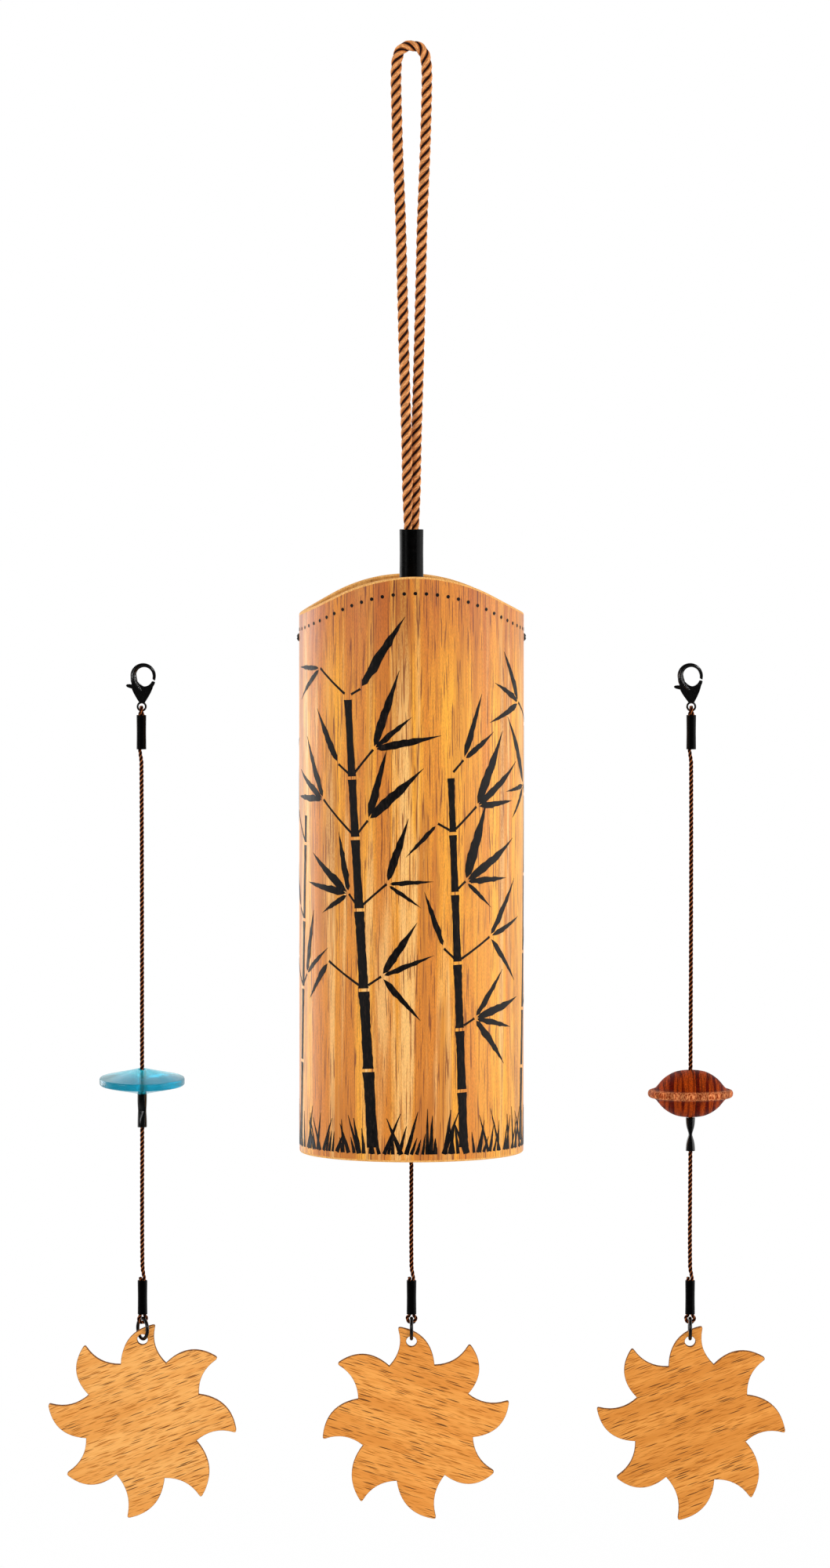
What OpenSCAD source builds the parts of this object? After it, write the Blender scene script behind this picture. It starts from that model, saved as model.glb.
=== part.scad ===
// Bamboo wind chime: a wooden resonator tube with tuned rods and an inner striker
// string, hung on a rope loop, with two spare striker strings beside it.
// Millimetres, +Z up, +X to the right seen from the front, origin where a hook
// bears on the rope, at the inner top of its loop.

/* [Hanging rope] */
// Thickness of the laid rope
rope_d = 3.2; // [2.8:0.1:3.3]
// Thickness of the rope where the sleeve and the ring squeeze it
rope_squeezed_d = 2.5; // [2.2:0.1:2.6]
// Outside diameter of the sleeve round the rope's two legs
rope_sleeve_d = 6.7; // [6.4:0.1:8]
// Wall of that sleeve
rope_sleeve_wall = 0.5; // [0.3:0.1:0.6]
// Length of that sleeve
rope_sleeve_len = 13.6; // [10:0.2:14]
// Height of that sleeve above the bottom of the rope's bight
rope_sleeve_above_bight = 4.4; // [4:0.1:5]

/* [Hanger ring] */
// Outside diameter of the ring between the rope and the double eye
hanger_ring_d = 8; // [7:0.2:10]
// Wire of that ring
hanger_wire_d = 1.2; // [0.8:0.1:1.3]

/* [Resonator tube] */
// Outside diameter of the tube
tube_d = 63; // [58:0.5:75]
// Wall of the tube
tube_wall = 2.5; // [1.5:0.1:3.5]
// Height of the tube from its rim's highest points to its foot
tube_h = 162; // [158:1:180]
// Radius of the rim's crown, front and back
rim_crown_r = 46; // [40:1:60]
// Half width of the crown, past which the rim falls straight
rim_crown_half = 21.4; // [16:0.2:26]
// Straight pieces that the crown's curve is drawn with
rim_crown_steps = 24; // [12:2:36]
// How far the tube is turned on its rope
tube_turn = 2; // [-10:1:10]

/* [Base plate] */
// Thickness of the plate that carries the rods
plate_t = 4; // [3:0.2:6]
// Depth of the plate's middle below the rim's highest points
plate_below_rim = 17.4; // [15:0.2:20]
// Gap between the plate and the tube's bore
plate_gap = 0.15; // [0.1:0.05:0.3]
// Shank of the two screws that hold the plate in the tube
screw_d = 1.5; // [1:0.1:2]
// Head of those screws
screw_head_d = 2.4; // [2.2:0.1:4]
// Height of that head
screw_head_h = 0.7; // [0.4:0.1:1.2]
// Length of the screw in the plate
screw_in_plate = 5; // [3:0.5:8]

/* [Chime rods] */
// Number of rods
rod_count = 9; // [7:1:9]
// Thickness of a rod
rod_d = 2.5; // [2:0.1:3]
// Distance of the rods' middles from the tube's bore
rod_from_bore = 7; // [6.5:0.1:7.2]
// Length of the longest rod below the plate
rod_longest = 141; // [138:1:141]
// How much shorter each next rod is
rod_step = 2; // [0.5:0.1:2]
// Height of a rod's brazed end above the plate
rod_proud = 0.8; // [0.4:0.1:1.5]
// Width of the braze round a rod
braze_w = 0.9; // [0.5:0.1:1.2]

/* [Double eye] */
// Outside diameter of each of its two eyes
eye_d = 7; // [6.6:0.2:9]
// Wire of the eyes
eye_wire_d = 1.2; // [0.9:0.1:1.3]
// Shank between the eyes, through the plate
eye_shank_d = 2; // [1.4:0.1:3]
// Neck of the shank above the plate
eye_neck_top = 0.3; // [0.2:0.1:2]
// Neck of the shank below the plate
eye_neck_bottom = 0.7; // [0.3:0.1:2]

/* [Clasp] */
// Width of the hook's hole
hook_hole_w = 4.7; // [4.5:0.1:5.2]
// Height of the hook's hole
hook_hole_h = 5.4; // [5.2:0.1:5.8]
// Wire of the hook at its top
hook_top_w = 1.1; // [0.8:0.1:1.3]
// Wire of the hook on its open side
hook_gate_w = 0.9; // [0.7:0.1:1.1]
// Wire of the hook on its closed side
hook_back_w = 1.55; // [1.2:0.05:1.8]
// Thickness of the hook, front to back
hook_t = 1.5; // [1.4:0.1:1.9]
// Slot between the clasp's cheeks, where the lever turns
clasp_slot_w = 1.2; // [1:0.1:1.3]
// Thickness of each cheek
clasp_cheek_t = 0.6; // [0.4:0.1:1]
// Distance from the hook's inner top down to the lever's pin
pin_below_hook = 7.1; // [7:0.1:7.3]
// Pin of the lever
pin_d = 0.8; // [0.6:0.1:1]
// Distance from the hook's inner top down to the lower eye
clasp_eye_below_hook = 11.1; // [11:0.1:12]
// Outside diameter of the clasp's lower eye
clasp_eye_d = 2.9; // [2.8:0.1:3.2]
// Wire of the clasp's lower eye
clasp_eye_wire_d = 0.6; // [0.5:0.05:0.65]

/* [Striker strings] */
// Thickness of the twisted string
string_d = 1.1; // [0.9:0.05:1.15]
// Outside diameter of the sleeves that close the string's loops
sleeve_d = 2.74; // [2.7:0.02:3.2]
// Wall of those sleeves
sleeve_wall = 0.18; // [0.1:0.01:0.2]
// Length of those sleeves
sleeve_len = 9.6; // [8:0.2:12]
// Distance from the hook's inner top down to the upper sleeve
upper_sleeve_below_hook = 13.5; // [13.4:0.1:15]
// Distance from the hook's inner top down to the lower sleeve
lower_sleeve_below_hook = 172.8; // [165:0.2:185]
// Outside diameter of the crimped stopper
stopper_d = 2.7; // [2.5:0.1:3.2]
// Length of the stopper
stopper_len = 9.4; // [8:0.2:11]
// Width that the crimp leaves at the stopper's waist
stopper_waist = 1.2; // [0.9:0.1:1.8]
// Height of that crimp
stopper_crimp_h = 5.6; // [4:0.2:6]
// Distance of the left spare string from the chime's middle
left_string_at = 75.8; // [74:0.1:95]
// Distance of the right spare string from the chime's middle
right_string_at = 78.5; // [74:0.1:95]
// Lean of the left string's clasp on its loop
left_clasp_lean = 5; // [0:0.5:6]

/* [Strikers] */
// Diameter of the disc striker
disc_d = 24; // [20:0.5:24]
// Thickness of the disc at its hub
disc_hub_h = 6.8; // [5:0.2:8]
// Diameter of the disc's flat hub
disc_hub_d = 3.6; // [3.2:0.2:5]
// Thickness of the disc's rim
disc_rim_h = 1.84; // [1.2:0.02:2.4]
// Distance from the hook's inner top down to the disc's middle
disc_below_hook = 116.5; // [100:0.5:118]
// Lean of the left disc towards the front, about what its hole allows
disc_lean = 4.5; // [0:0.5:5]
// Diameter of the turned bead's band
bead_d = 24; // [20:0.5:26]
// Height of the bead
bead_h = 13.2; // [11:0.2:15]
// Radius of the bead's domes
bead_dome_r = 13; // [12:0.2:16]
// Thickness of the bead's band
bead_band_h = 2.4; // [1.6:0.1:3]
// Distance from the hook's inner top down to the bead's middle
bead_below_hook = 120; // [100:0.5:122]
// Hole through a striker
striker_hole_d = 2.1; // [1.9:0.1:2.4]

/* [Sun sail] */
// Radius of the rays' tips, from which each ray's own differs a little
ray_tip_r = 27.3; // [26:0.1:29]
// Radius of the valleys between the rays
ray_valley_r = 16.9; // [16:0.1:18]
// Bow of the long round side of a ray
ray_round_bow = 3; // [2:0.1:3.6]
// Bow of the short hollow side of a ray
ray_hollow_bow = 1.7; // [0.5:0.1:2]
// How much of a ray's tip is blunted
ray_tip_blunt = 0.8; // [0.2:0.1:1.2]
// Thickness of the sail
sail_t = 2.4; // [1.6:0.1:2.4]
// Hole that the sail hangs by
sail_hole_d = 3; // [2.9:0.1:3.4]
// Distance of that hole from the sail's middle
sail_hole_r = 22.3; // [21.5:0.1:23]
// Turn of that hole from the tip of its ray, onto the round side
sail_hole_turn = 10; // [7:0.5:12]
// How far the middle sail hangs turned on its ring
inner_sail_hang = 2.9; // [-6:0.1:6]
// How far the right sail hangs turned on its ring
right_sail_hang = 1.1; // [-6:0.1:6]
// Outside diameter of the open ring that carries the sail
sail_ring_d = 6.8; // [6.6:0.1:8]
// Wire of that ring
sail_wire_d = 1; // [0.8:0.05:1.05]
// Slit where the ring was bent open
sail_ring_slit = 0.4; // [0.2:0.1:0.8]
// Turn of the left string's loop and ring about the string
left_ring_turn = 30; // [0:5:30]

/* [Hidden] */
$fn = 48;
link_gap = 0.12;
slide_gap = 0.1;
pin_gap = 0.03;
press_gap = 0.01;
braze_gap = 0.02;
twin_gap = 0.03;
gate_gap = 0.3;
cut = 1;
string_sides = 8;
// Places the start of the tube's round faces clear of its screw holes
seam_turn = 45;
// Rods next to each other differ in length by this many steps, so that the ring stays in balance
rod_order = 4;

// The rope's route, chosen by hand: the bight round the ring inside the tube,
// then one leg of the loop from the sleeve up to the top
rope_bight = [
    [-0.4, -1.25, -140.4], [0, -1.3, -144], [0, -1.4, -146.6], [0, -1.9, -148.2],
    [0, -2, -149.4], [0, -1.5, -150.8], [0, 0, -151.3], [0, 1.5, -150.8],
    [0, 2, -149.4], [0, 1.9, -148.2], [0, 1.4, -146.6], [0, 1.3, -144]
];
rope_leg = [
    [0.6, 1.15, -139], [0.95, 0.95, -133], [1.1, 1.2, -125], [1.2, 1.25, -117], [1.4, 1.15, -107],
    [1.75, 0.9, -96], [2.1, 0.6, -84], [2.4, 0.3, -72], [2.7, 0.1, -60], [3, 0, -48], [3.4, 0, -38],
    [3.8, 0, -28], [4.1, 0, -18], [4.3, 0, -9], [4.2, 0, -4], [3.7, 0, -1], [2.7, 0, 0.7], [1.4, 0, 1.4]
];
rope_top = [0, 0, 1.6];
rope_swells_over = 13.3;
rope_route = concat(
    rope_bight, rope_leg, [rope_top],
    [for (i = [len(rope_leg) - 1:-1:0]) [-rope_leg[i].x, -rope_leg[i].y, rope_leg[i].z]]
);

// Heights, worked out link by link from the rope's bight downwards
bight_z = min([for (p = rope_bight) p.z]);
rope_sleeve_low = bight_z + rope_sleeve_above_bight;
rope_sleeve_top = rope_sleeve_low + rope_sleeve_len;
ring_top_z = bight_z + rope_squeezed_d / 2 + link_gap + hanger_wire_d / 2;
hanger_ring_r = (hanger_ring_d - hanger_wire_d) / 2;
hanger_ring_z = ring_top_z - hanger_ring_r;
eye_r = (eye_d - eye_wire_d) / 2;
eye_pivot_z = hanger_ring_z - hanger_ring_r + (hanger_wire_d + eye_wire_d) / 2 + link_gap;
top_eye_z = eye_pivot_z - eye_r;
plate_top_z = top_eye_z - eye_d / 2 - eye_neck_top;
plate_z = plate_top_z - plate_t / 2;
plate_low_z = plate_top_z - plate_t;
rim_z = plate_z + plate_below_rim;
tube_low_z = rim_z - tube_h;
low_eye_z = plate_low_z - eye_neck_bottom - eye_d / 2;
clasp_pivot_z = low_eye_z - eye_r;
hook_z = clasp_pivot_z + eye_wire_d / 2 + link_gap;

// Ring that the rods stand on, inwards of the screws' ends
rod_ring_r = tube_d / 2 - tube_wall - rod_from_bore;

// Rim of the tube, seen from the front
rim_flank_fall = rim_crown_half / sqrt(rim_crown_r ^ 2 - rim_crown_half ^ 2);
rim_shoulder = rim_crown_r - sqrt(rim_crown_r ^ 2 - rim_crown_half ^ 2);

// The clasp seen from the front, measured from the hook's inner top
hook_r = (hook_hole_w + hook_gate_w + hook_back_w) / 2;
hook_at = [(hook_gate_w - hook_back_w) / 2, hook_top_w - hook_r];
pin_at = [0.4, -pin_below_hook];
gate_reach = 4.1;
hook_back_end = -4.7;
clasp_waist_half = clasp_eye_wire_d + 0.2;
clasp_neck_half = clasp_eye_wire_d + 0.1;
clasp_neck_h = 1.6;
clasp_eye_r = (clasp_eye_d - clasp_eye_wire_d) / 2;
neck_at = clasp_eye_r - clasp_eye_below_hook;
string_pivot = -clasp_eye_below_hook - clasp_eye_r;

// Heights on a string, measured from the hook's inner top
twin_at = string_d / 2 + twin_gap;
sleeve_bore = sleeve_d - 2 * sleeve_wall;
upper_bend_r = (clasp_eye_wire_d + string_d) / 2 + link_gap;
lower_bend_r = (sail_wire_d + string_d) / 2 + link_gap;
sail_ring_r = (sail_ring_d - sail_wire_d) / 2;
sail_ring_top = -lower_sleeve_below_hook - sleeve_len - lower_bend_r;
sail_ring_mid = sail_ring_top - sail_ring_r;
// A loop's two legs close up over this length, and its cut end stays in the sleeve or peeps out of it
string_closes_in = 4;
string_end_inside = 1;
string_end_outside = 0.9;
// The loop grips the wire this far past level, drawn with that many straight pieces
loop_grip = 10;
loop_steps = 8;
// Steps of the string's rounded end, as angles from its rim
string_end_round = [75, 40];
striker_seat = 0.2;
stopper_bore_h = 3;
socket_gap = 0.2;

// The three strings: the inner one in the tube, and the spares at its sides
string_names = ["inner", "blue", "wood"];
string_x = [0, -left_string_at, right_string_at];
string_lean = [0, disc_lean, 0];
string_ring_turn = [0, left_ring_turn, 0];
string_clasp_lean = [0, left_clasp_lean, 0];
string_sail_hang = [inner_sail_hang, 0, right_sail_hang];
string_sail_mirror = [true, false, false];
string_crimp_turn = [30, 55, 0];
striker_colors = [[0.75, 0.78, 0.8], [0.25, 0.6, 0.8], [0.5, 0.22, 0.14]];
function striker_mid(s) = s == 2 ? -bead_below_hook : -disc_below_hook;
function striker_half(s) = (s == 2 ? bead_h : disc_hub_h) / 2;
function stopper_top(s) = striker_mid(s) - striker_half(s) - striker_seat;
function tail_pivot(s) = stopper_top(s) - stopper_len;

// The rays differ a little, alike on all three suns: how far each tip stands out and is
// turned on from even spacing, and how shallow the valley before it is and how far back it lies
ray_tip_off = [-0.5, -0.9, -0.3, -0.5, 1.4, 0.6, -0.5, 0];
ray_tip_turn = [2, 3, 1, 1, 1, 1, 1, 3.5];
ray_valley_off = [0, -0.5, -0.4, 0, 0.7, 1.1, -0.5, 0.3];
ray_valley_back = [13, 13, 13.5, 15.5, 15, 15, 13, 12];
ray_count = len(ray_tip_off);
ray_steps = 8;
sail_slit_turn = 25;

// The sail's hole hangs on the ring's wire where that passes the sail's two faces
function wire_aside(turn) = sail_t / 2 * tan(turn);
function wire_rise(turn) = sail_ring_r - sqrt(sail_ring_r ^ 2 - (sail_t / 2 / cos(turn)) ^ 2);
function wire_room(turn) = (sail_hole_d - sail_wire_d / cos(turn)) / 2 - slide_gap;
function sail_hole_z(turn) = sail_ring_mid - sail_ring_r + wire_rise(turn)
    - sqrt(wire_room(turn) ^ 2 - wire_aside(turn) ^ 2);

string_pieces = [
    "clasp_frame", "clasp_lever", "clasp_pin", "upper_cord", "upper_sleeve", "striker",
    "stopper", "lower_cord", "lower_sleeve", "ring", "sail"
];

// Shared shapes

function unit(v) = v / norm(v);
function heading(p, i) = unit(p[min(i + 1, len(p) - 1)] - p[max(i - 1, 0)]);
function carried(n, t) = unit(n - (n * t) * t);
function sides_of(p, first) = [
    for (i = 0, n = carried(first, heading(p, 0));
        i < len(p);
        i = i + 1, n = carried(n, heading(p, min(i, len(p) - 1))))
    n
];
function ring_points(at, n, t, r) = [
    for (k = [0:string_sides - 1]) let (a = 360 * k / string_sides)
    at + r * (cos(a) * n + sin(a) * cross(t, n))
];
// A closed tube along points p with radii r, its first side facing the direction first
module swept_tube(p, r, first) {
    n = sides_of(p, first);
    s = string_sides;
    last = len(p) - 1;
    polyhedron(
        points = [for (i = [0:last]) each ring_points(p[i], n[i], heading(p, i), r[i])],
        faces = concat(
            [[for (k = [0:s - 1]) k]],
            [for (i = [0:last - 1], k = [0:s - 1]) [
                i * s + k, (i + 1) * s + k, (i + 1) * s + (k + 1) % s, i * s + (k + 1) % s
            ]],
            [[for (k = [s - 1:-1:0]) last * s + k]]
        )
    );
}
// Points on a curve from a to b that bows by that much to the left, between two shares of its way
function bowed(a, b, bow, steps, from, to) = let (d = b - a, side = [-d.y, d.x] / norm(d)) [
    for (i = [0:steps]) let (t = from + (to - from) * i / steps) a + d * t + side * 4 * bow * t * (1 - t)
];
// Points of a tip that is rounded off between a and b
function blunt(a, tip, b, steps) = [
    for (i = [1:steps]) let (t = i / (steps + 1)) (1 - t) ^ 2 * a + 2 * t * (1 - t) * tip + t ^ 2 * b
];
function polar(r, a) = [r * cos(a), r * sin(a)];
// A round ring of wire about Z, with an optional slit across +X
module wire_ring(r, wire, slit = 0) {
    open = slit > 0 ? asin(slit / 2 / r) : 0;
    rotate(open) rotate_extrude(angle = 360 - 2 * open) translate([r, 0]) circle(d = wire);
}
// A front view extruded to a thickness about the plane of X and Z
module front_plate(t) {
    rotate([90, 0, 0]) linear_extrude(t, center = true) children();
}
module pipe(d, bore, h) {
    difference() {
        cylinder(d = d, h = h);
        translate([0, 0, -cut]) cylinder(d = bore, h = h + 2 * cut);
    }
}
module braze_cone(d, up) {
    mirror([0, 0, up ? 0 : 1]) cylinder(d1 = d + 2 * braze_w, d2 = d, h = rod_proud);
}
module at_hook(s) {
    translate([string_x[s], 0, hook_z]) children();
}
module at_clasp(s) {
    at_hook(s) translate([0, 0, string_pivot]) rotate([0, string_clasp_lean[s], 0])
        translate([0, 0, -string_pivot]) children();
}

// Hanger

function rope_r(z) = let (
    t = (z - rope_sleeve_top) / rope_swells_over, k = max(0, min(1, t))
) (rope_squeezed_d + (rope_d - rope_squeezed_d) * k) / 2;
module hanging_rope() {
    color("peru") swept_tube(rope_route, [for (p = rope_route) rope_r(p.z)], [1, 0, 0]);
}
module hanger_sleeve() {
    color([0.08, 0.08, 0.08]) translate([0, 0, rope_sleeve_low])
        pipe(rope_sleeve_d, rope_sleeve_d - 2 * rope_sleeve_wall, rope_sleeve_len);
}
module hanger_ring() {
    color("silver") translate([0, 0, hanger_ring_z]) rotate([90, 0, 0])
        wire_ring(hanger_ring_r, hanger_wire_d);
}

// Resonator

module tube_outline() {
    half = tube_d / 2 + cut;
    flank = rim_z - rim_shoulder - (half - rim_crown_half) * rim_flank_fall;
    reach = asin(rim_crown_half / rim_crown_r);
    crown = [
        for (i = [0:rim_crown_steps]) let (a = 90 - reach + 2 * reach * i / rim_crown_steps)
        [0, rim_z - rim_crown_r] + polar(rim_crown_r, a)
    ];
    foot = tube_low_z - cut;
    polygon(concat([[-half, foot], [half, foot], [half, flank]], crown, [[-half, flank]]));
}
module screw_axes() {
    for (a = [0, 180]) rotate(tube_turn + a) translate([0, 0, plate_z]) rotate([0, 90, 0]) children();
}
module bamboo_tube() {
    color("burlywood") difference() {
        intersection() {
            translate([0, 0, tube_low_z]) rotate(seam_turn) pipe(tube_d, tube_d - 2 * tube_wall, tube_h + cut);
            rotate(tube_turn) front_plate(tube_d + 2 * cut) tube_outline();
        }
        screw_axes() translate([0, 0, tube_d / 4]) cylinder(d = screw_d + slide_gap, h = tube_d);
    }
}
module rod_places() {
    for (i = [1:rod_count]) rotate(360 / rod_count * (i - 0.5)) translate([rod_ring_r, 0, 0]) children();
}
module base_plate() {
    plate_d = tube_d - 2 * (tube_wall + plate_gap);
    color("silver") difference() {
        translate([0, 0, plate_low_z]) cylinder(d = plate_d, h = plate_t);
        translate([0, 0, plate_low_z - cut]) {
            cylinder(d = eye_shank_d + 2 * braze_gap, h = plate_t + 2 * cut);
            rod_places() cylinder(d = rod_d + 2 * braze_gap, h = plate_t + 2 * cut);
        }
        screw_axes() translate([0, 0, plate_d / 2 - screw_in_plate - slide_gap])
            cylinder(d = screw_d + 2 * press_gap, h = plate_d / 2);
    }
}
module double_eye() {
    color("silver") {
        for (z = [top_eye_z, low_eye_z]) translate([0, 0, z]) rotate([0, 90, 0]) wire_ring(eye_r, eye_wire_d);
        translate([0, 0, low_eye_z + eye_r]) cylinder(d = eye_shank_d, h = top_eye_z - low_eye_z - 2 * eye_r);
    }
}
module side_screws() {
    shank = tube_wall + plate_gap + screw_in_plate;
    color([0.1, 0.1, 0.1]) screw_axes() translate([0, 0, tube_d / 2]) {
        rotate_extrude() intersection() {
            translate([0, screw_head_h - screw_head_d]) circle(screw_head_d);
            square([screw_head_d / 2, screw_head_h]);
        }
        translate([0, 0, -shank]) cylinder(d = screw_d, h = shank + screw_head_h / 2);
    }
}
module chime_rod(i) {
    length = rod_longest - rod_step * ((i * rod_order) % rod_count);
    color("lightsteelblue") rotate(360 / rod_count * (i - 0.5)) translate([rod_ring_r, 0, plate_low_z]) {
        translate([0, 0, -length]) cylinder(d = rod_d, h = length + plate_t + rod_proud);
        translate([0, 0, plate_t]) braze_cone(rod_d, true);
        braze_cone(rod_d, false);
    }
}

// Clasp

module hook_hole() {
    low = hook_hole_h - hook_hole_w;
    for (z = [0, low]) translate([0, -hook_hole_w / 2 - z]) circle(d = hook_hole_w);
    translate([-hook_hole_w / 2, -hook_hole_w / 2 - low]) square([hook_hole_w, low]);
}
// Both cheeks: right side, neck, left side, and the top that the hole is cut from
module cheek_outline() {
    half = clasp_waist_half;
    difference() {
        polygon([
            [2.8, -4.9], [2.6, -5.8], [2.25, -6.9], [1.65, -8.3], [half, neck_at], [-half, neck_at],
            [-1.6, -8.9], [-2.5, -7.6], [-3.1, -6.5], [-3.35, -5.3], [-3.4, -3.8], [0, -3.8]
        ]);
        hook_hole();
    }
}
// The fixed hook, open where the lever's gate closes it and where its thumb piece leaves
module hook_outline() {
    difference() {
        translate(hook_at) circle(hook_r);
        hook_hole();
        intersection() {
            translate(pin_at) circle(gate_reach + gate_gap);
            translate([0, -3 * hook_r]) square(3 * hook_r);
        }
        translate([-3 * hook_r, hook_back_end - 3 * hook_r]) square(3 * hook_r);
    }
}
module clasp_frame(s) {
    half = clasp_neck_half;
    color([0.09, 0.09, 0.1]) at_clasp(s) difference() {
        union() {
            front_plate(hook_t) hook_outline();
            for (y = [-1, 1]) translate([0, y * (clasp_slot_w + clasp_cheek_t) / 2, 0])
                front_plate(clasp_cheek_t) cheek_outline();
            translate([-half, -hook_t / 2, neck_at]) cube([2 * half, hook_t, clasp_neck_h]);
            translate([0, 0, -clasp_eye_below_hook]) rotate([90, 0, 0])
                wire_ring(clasp_eye_r, clasp_eye_wire_d);
        }
        translate([pin_at.x, 0, pin_at.y]) rotate([90, 0, 0])
            cylinder(d = pin_d + 2 * press_gap, h = 4 * hook_t, center = true);
    }
}
// Gate on the right, hub on the pin, thumb piece on the left
module lever_outline() {
    difference() {
        polygon([
            [2.2, -3.75], [2.8, -3.75], [3.2, -3.95], [3.05, -4.6], [2.5, -5.8], [1.55, -7.6], [0.4, -8.15],
            [-0.6, -7.6], [-3, -6.4], [-4.3, -6.1], [-4.8, -5.8], [-4.9, -5.5], [-4.6, -5.2], [-3.8, -5.1],
            [-3, -5.2], [0, -5]
        ]);
        hook_hole();
    }
}
module clasp_lever(s) {
    color([0.12, 0.12, 0.13]) at_clasp(s) difference() {
        front_plate(clasp_slot_w - 2 * slide_gap) lever_outline();
        translate([pin_at.x, 0, pin_at.y]) rotate([90, 0, 0])
            cylinder(d = pin_d + 2 * pin_gap, h = 2 * hook_t, center = true);
    }
}
module clasp_pin(s) {
    color([0.2, 0.2, 0.21]) at_clasp(s) translate([pin_at.x, 0, pin_at.y]) rotate([90, 0, 0])
        cylinder(d = pin_d, h = clasp_slot_w + 2 * clasp_cheek_t, center = true);
}

// String

// Over the eye's wire between two legs: from one leg round to the other
function bend(mid, r, from, to) = [
    for (i = [0:loop_steps]) let (a = from + (to - from) * i / loop_steps) [r * cos(a), 0, mid + r * sin(a)]
];
function turned(p, a) = [for (q = p) [q.x * cos(a) - q.y * sin(a), q.x * sin(a) + q.y * cos(a), q.z]];
module upper_cord(s) {
    top = -upper_sleeve_below_hook;
    low = top - sleeve_len;
    route = concat(
        [[-twin_at, 0, low + string_end_inside], [-twin_at, 0, top]],
        bend(string_pivot, upper_bend_r, 180 + loop_grip, -loop_grip),
        [[twin_at, 0, top], [twin_at, 0, low], [0, 0, low - string_closes_in]],
        [[0, 0, stopper_top(s) - stopper_bore_h]]
    );
    color("saddlebrown") at_hook(s)
        swept_tube(turned(route, 90), [for (p = route) string_d / 2], [1, 0, 0]);
}
module sleeve_at(s, z) {
    color([0.08, 0.08, 0.08]) at_hook(s) translate([0, 0, -z - sleeve_len])
        pipe(sleeve_d, sleeve_bore, sleeve_len);
}
module upper_sleeve(s) {
    sleeve_at(s, upper_sleeve_below_hook);
}
module lower_sleeve(s) {
    sleeve_at(s, lower_sleeve_below_hook);
}
module disc_profile() {
    round_r = disc_rim_h / 2;
    half = disc_hub_h / 2;
    polygon([
        [0, -half], [disc_hub_d / 2, -half], [disc_d / 2 - round_r, -round_r],
        [disc_d / 2 - round_r, round_r], [disc_hub_d / 2, half], [0, half]
    ]);
    translate([disc_d / 2 - round_r, 0]) circle(round_r);
}
module bead_profile() {
    round_r = bead_band_h / 2;
    intersection() {
        translate([0, bead_h / 2 - bead_dome_r]) circle(bead_dome_r, $fn = 96);
        translate([0, bead_dome_r - bead_h / 2]) circle(bead_dome_r, $fn = 96);
        translate([0, -bead_h / 2]) square([bead_d / 2, bead_h]);
    }
    translate([0, -round_r]) square([bead_d / 2 - round_r, bead_band_h]);
    translate([bead_d / 2 - round_r, 0]) circle(round_r);
}
module striker(s) {
    color(striker_colors[s]) at_hook(s) translate([0, 0, striker_mid(s)]) rotate([string_lean[s], 0, 0])
        rotate_extrude() difference() {
            if (s == 2) bead_profile();
            else disc_profile();
            translate([-bead_d, -bead_h]) square([bead_d + striker_hole_d / 2, 2 * bead_h]);
        }
}
module stopper(s) {
    pinch = (stopper_d - stopper_waist) / 2;
    half = stopper_crimp_h / 2;
    groove_r = (half ^ 2 + pinch ^ 2) / (2 * pinch);
    bore = string_d + 2 * press_gap;
    place = [0, 0, tail_pivot(s)];
    color([0.1, 0.1, 0.1]) at_hook(s) translate(place) rotate(string_crimp_turn[s]) difference() {
        cylinder(d = stopper_d, h = stopper_len);
        for (a = [0, 180]) rotate(a) translate([stopper_waist / 2 + groove_r, 0, stopper_len / 2])
            rotate([90, 0, 0]) cylinder(r = groove_r, h = 2 * stopper_d, center = true, $fn = 96);
        translate([0, 0, stopper_len - stopper_bore_h]) cylinder(d = bore, h = 2 * stopper_bore_h);
        sphere(d = string_d + 2 * socket_gap);
    }
}
module lower_cord(s) {
    top = -lower_sleeve_below_hook;
    low = top - sleeve_len;
    r = string_d / 2;
    route = concat(
        [for (a = string_end_round) [0, 0, tail_pivot(s) + r * sin(a)]],
        [[0, 0, tail_pivot(s)], [0, 0, top + string_closes_in], [twin_at, 0, top], [twin_at, 0, low]],
        bend(sail_ring_top, lower_bend_r, loop_grip, -180 - loop_grip),
        [[-twin_at, 0, low], [-twin_at, 0, top + string_end_outside]]
    );
    rounded = len(string_end_round);
    radii = concat([for (a = string_end_round) r * cos(a)], [for (i = [rounded:len(route) - 1]) r]);
    color("saddlebrown") at_hook(s) swept_tube(turned(route, string_ring_turn[s]), radii, [0, 1, 0]);
}
module ring(s) {
    color([0.1, 0.1, 0.1]) at_hook(s) translate([0, 0, sail_ring_mid]) rotate(string_ring_turn[s])
        rotate([0, 90, 0]) rotate(sail_slit_turn) wire_ring(sail_ring_r, sail_wire_d, sail_ring_slit);
}
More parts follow.
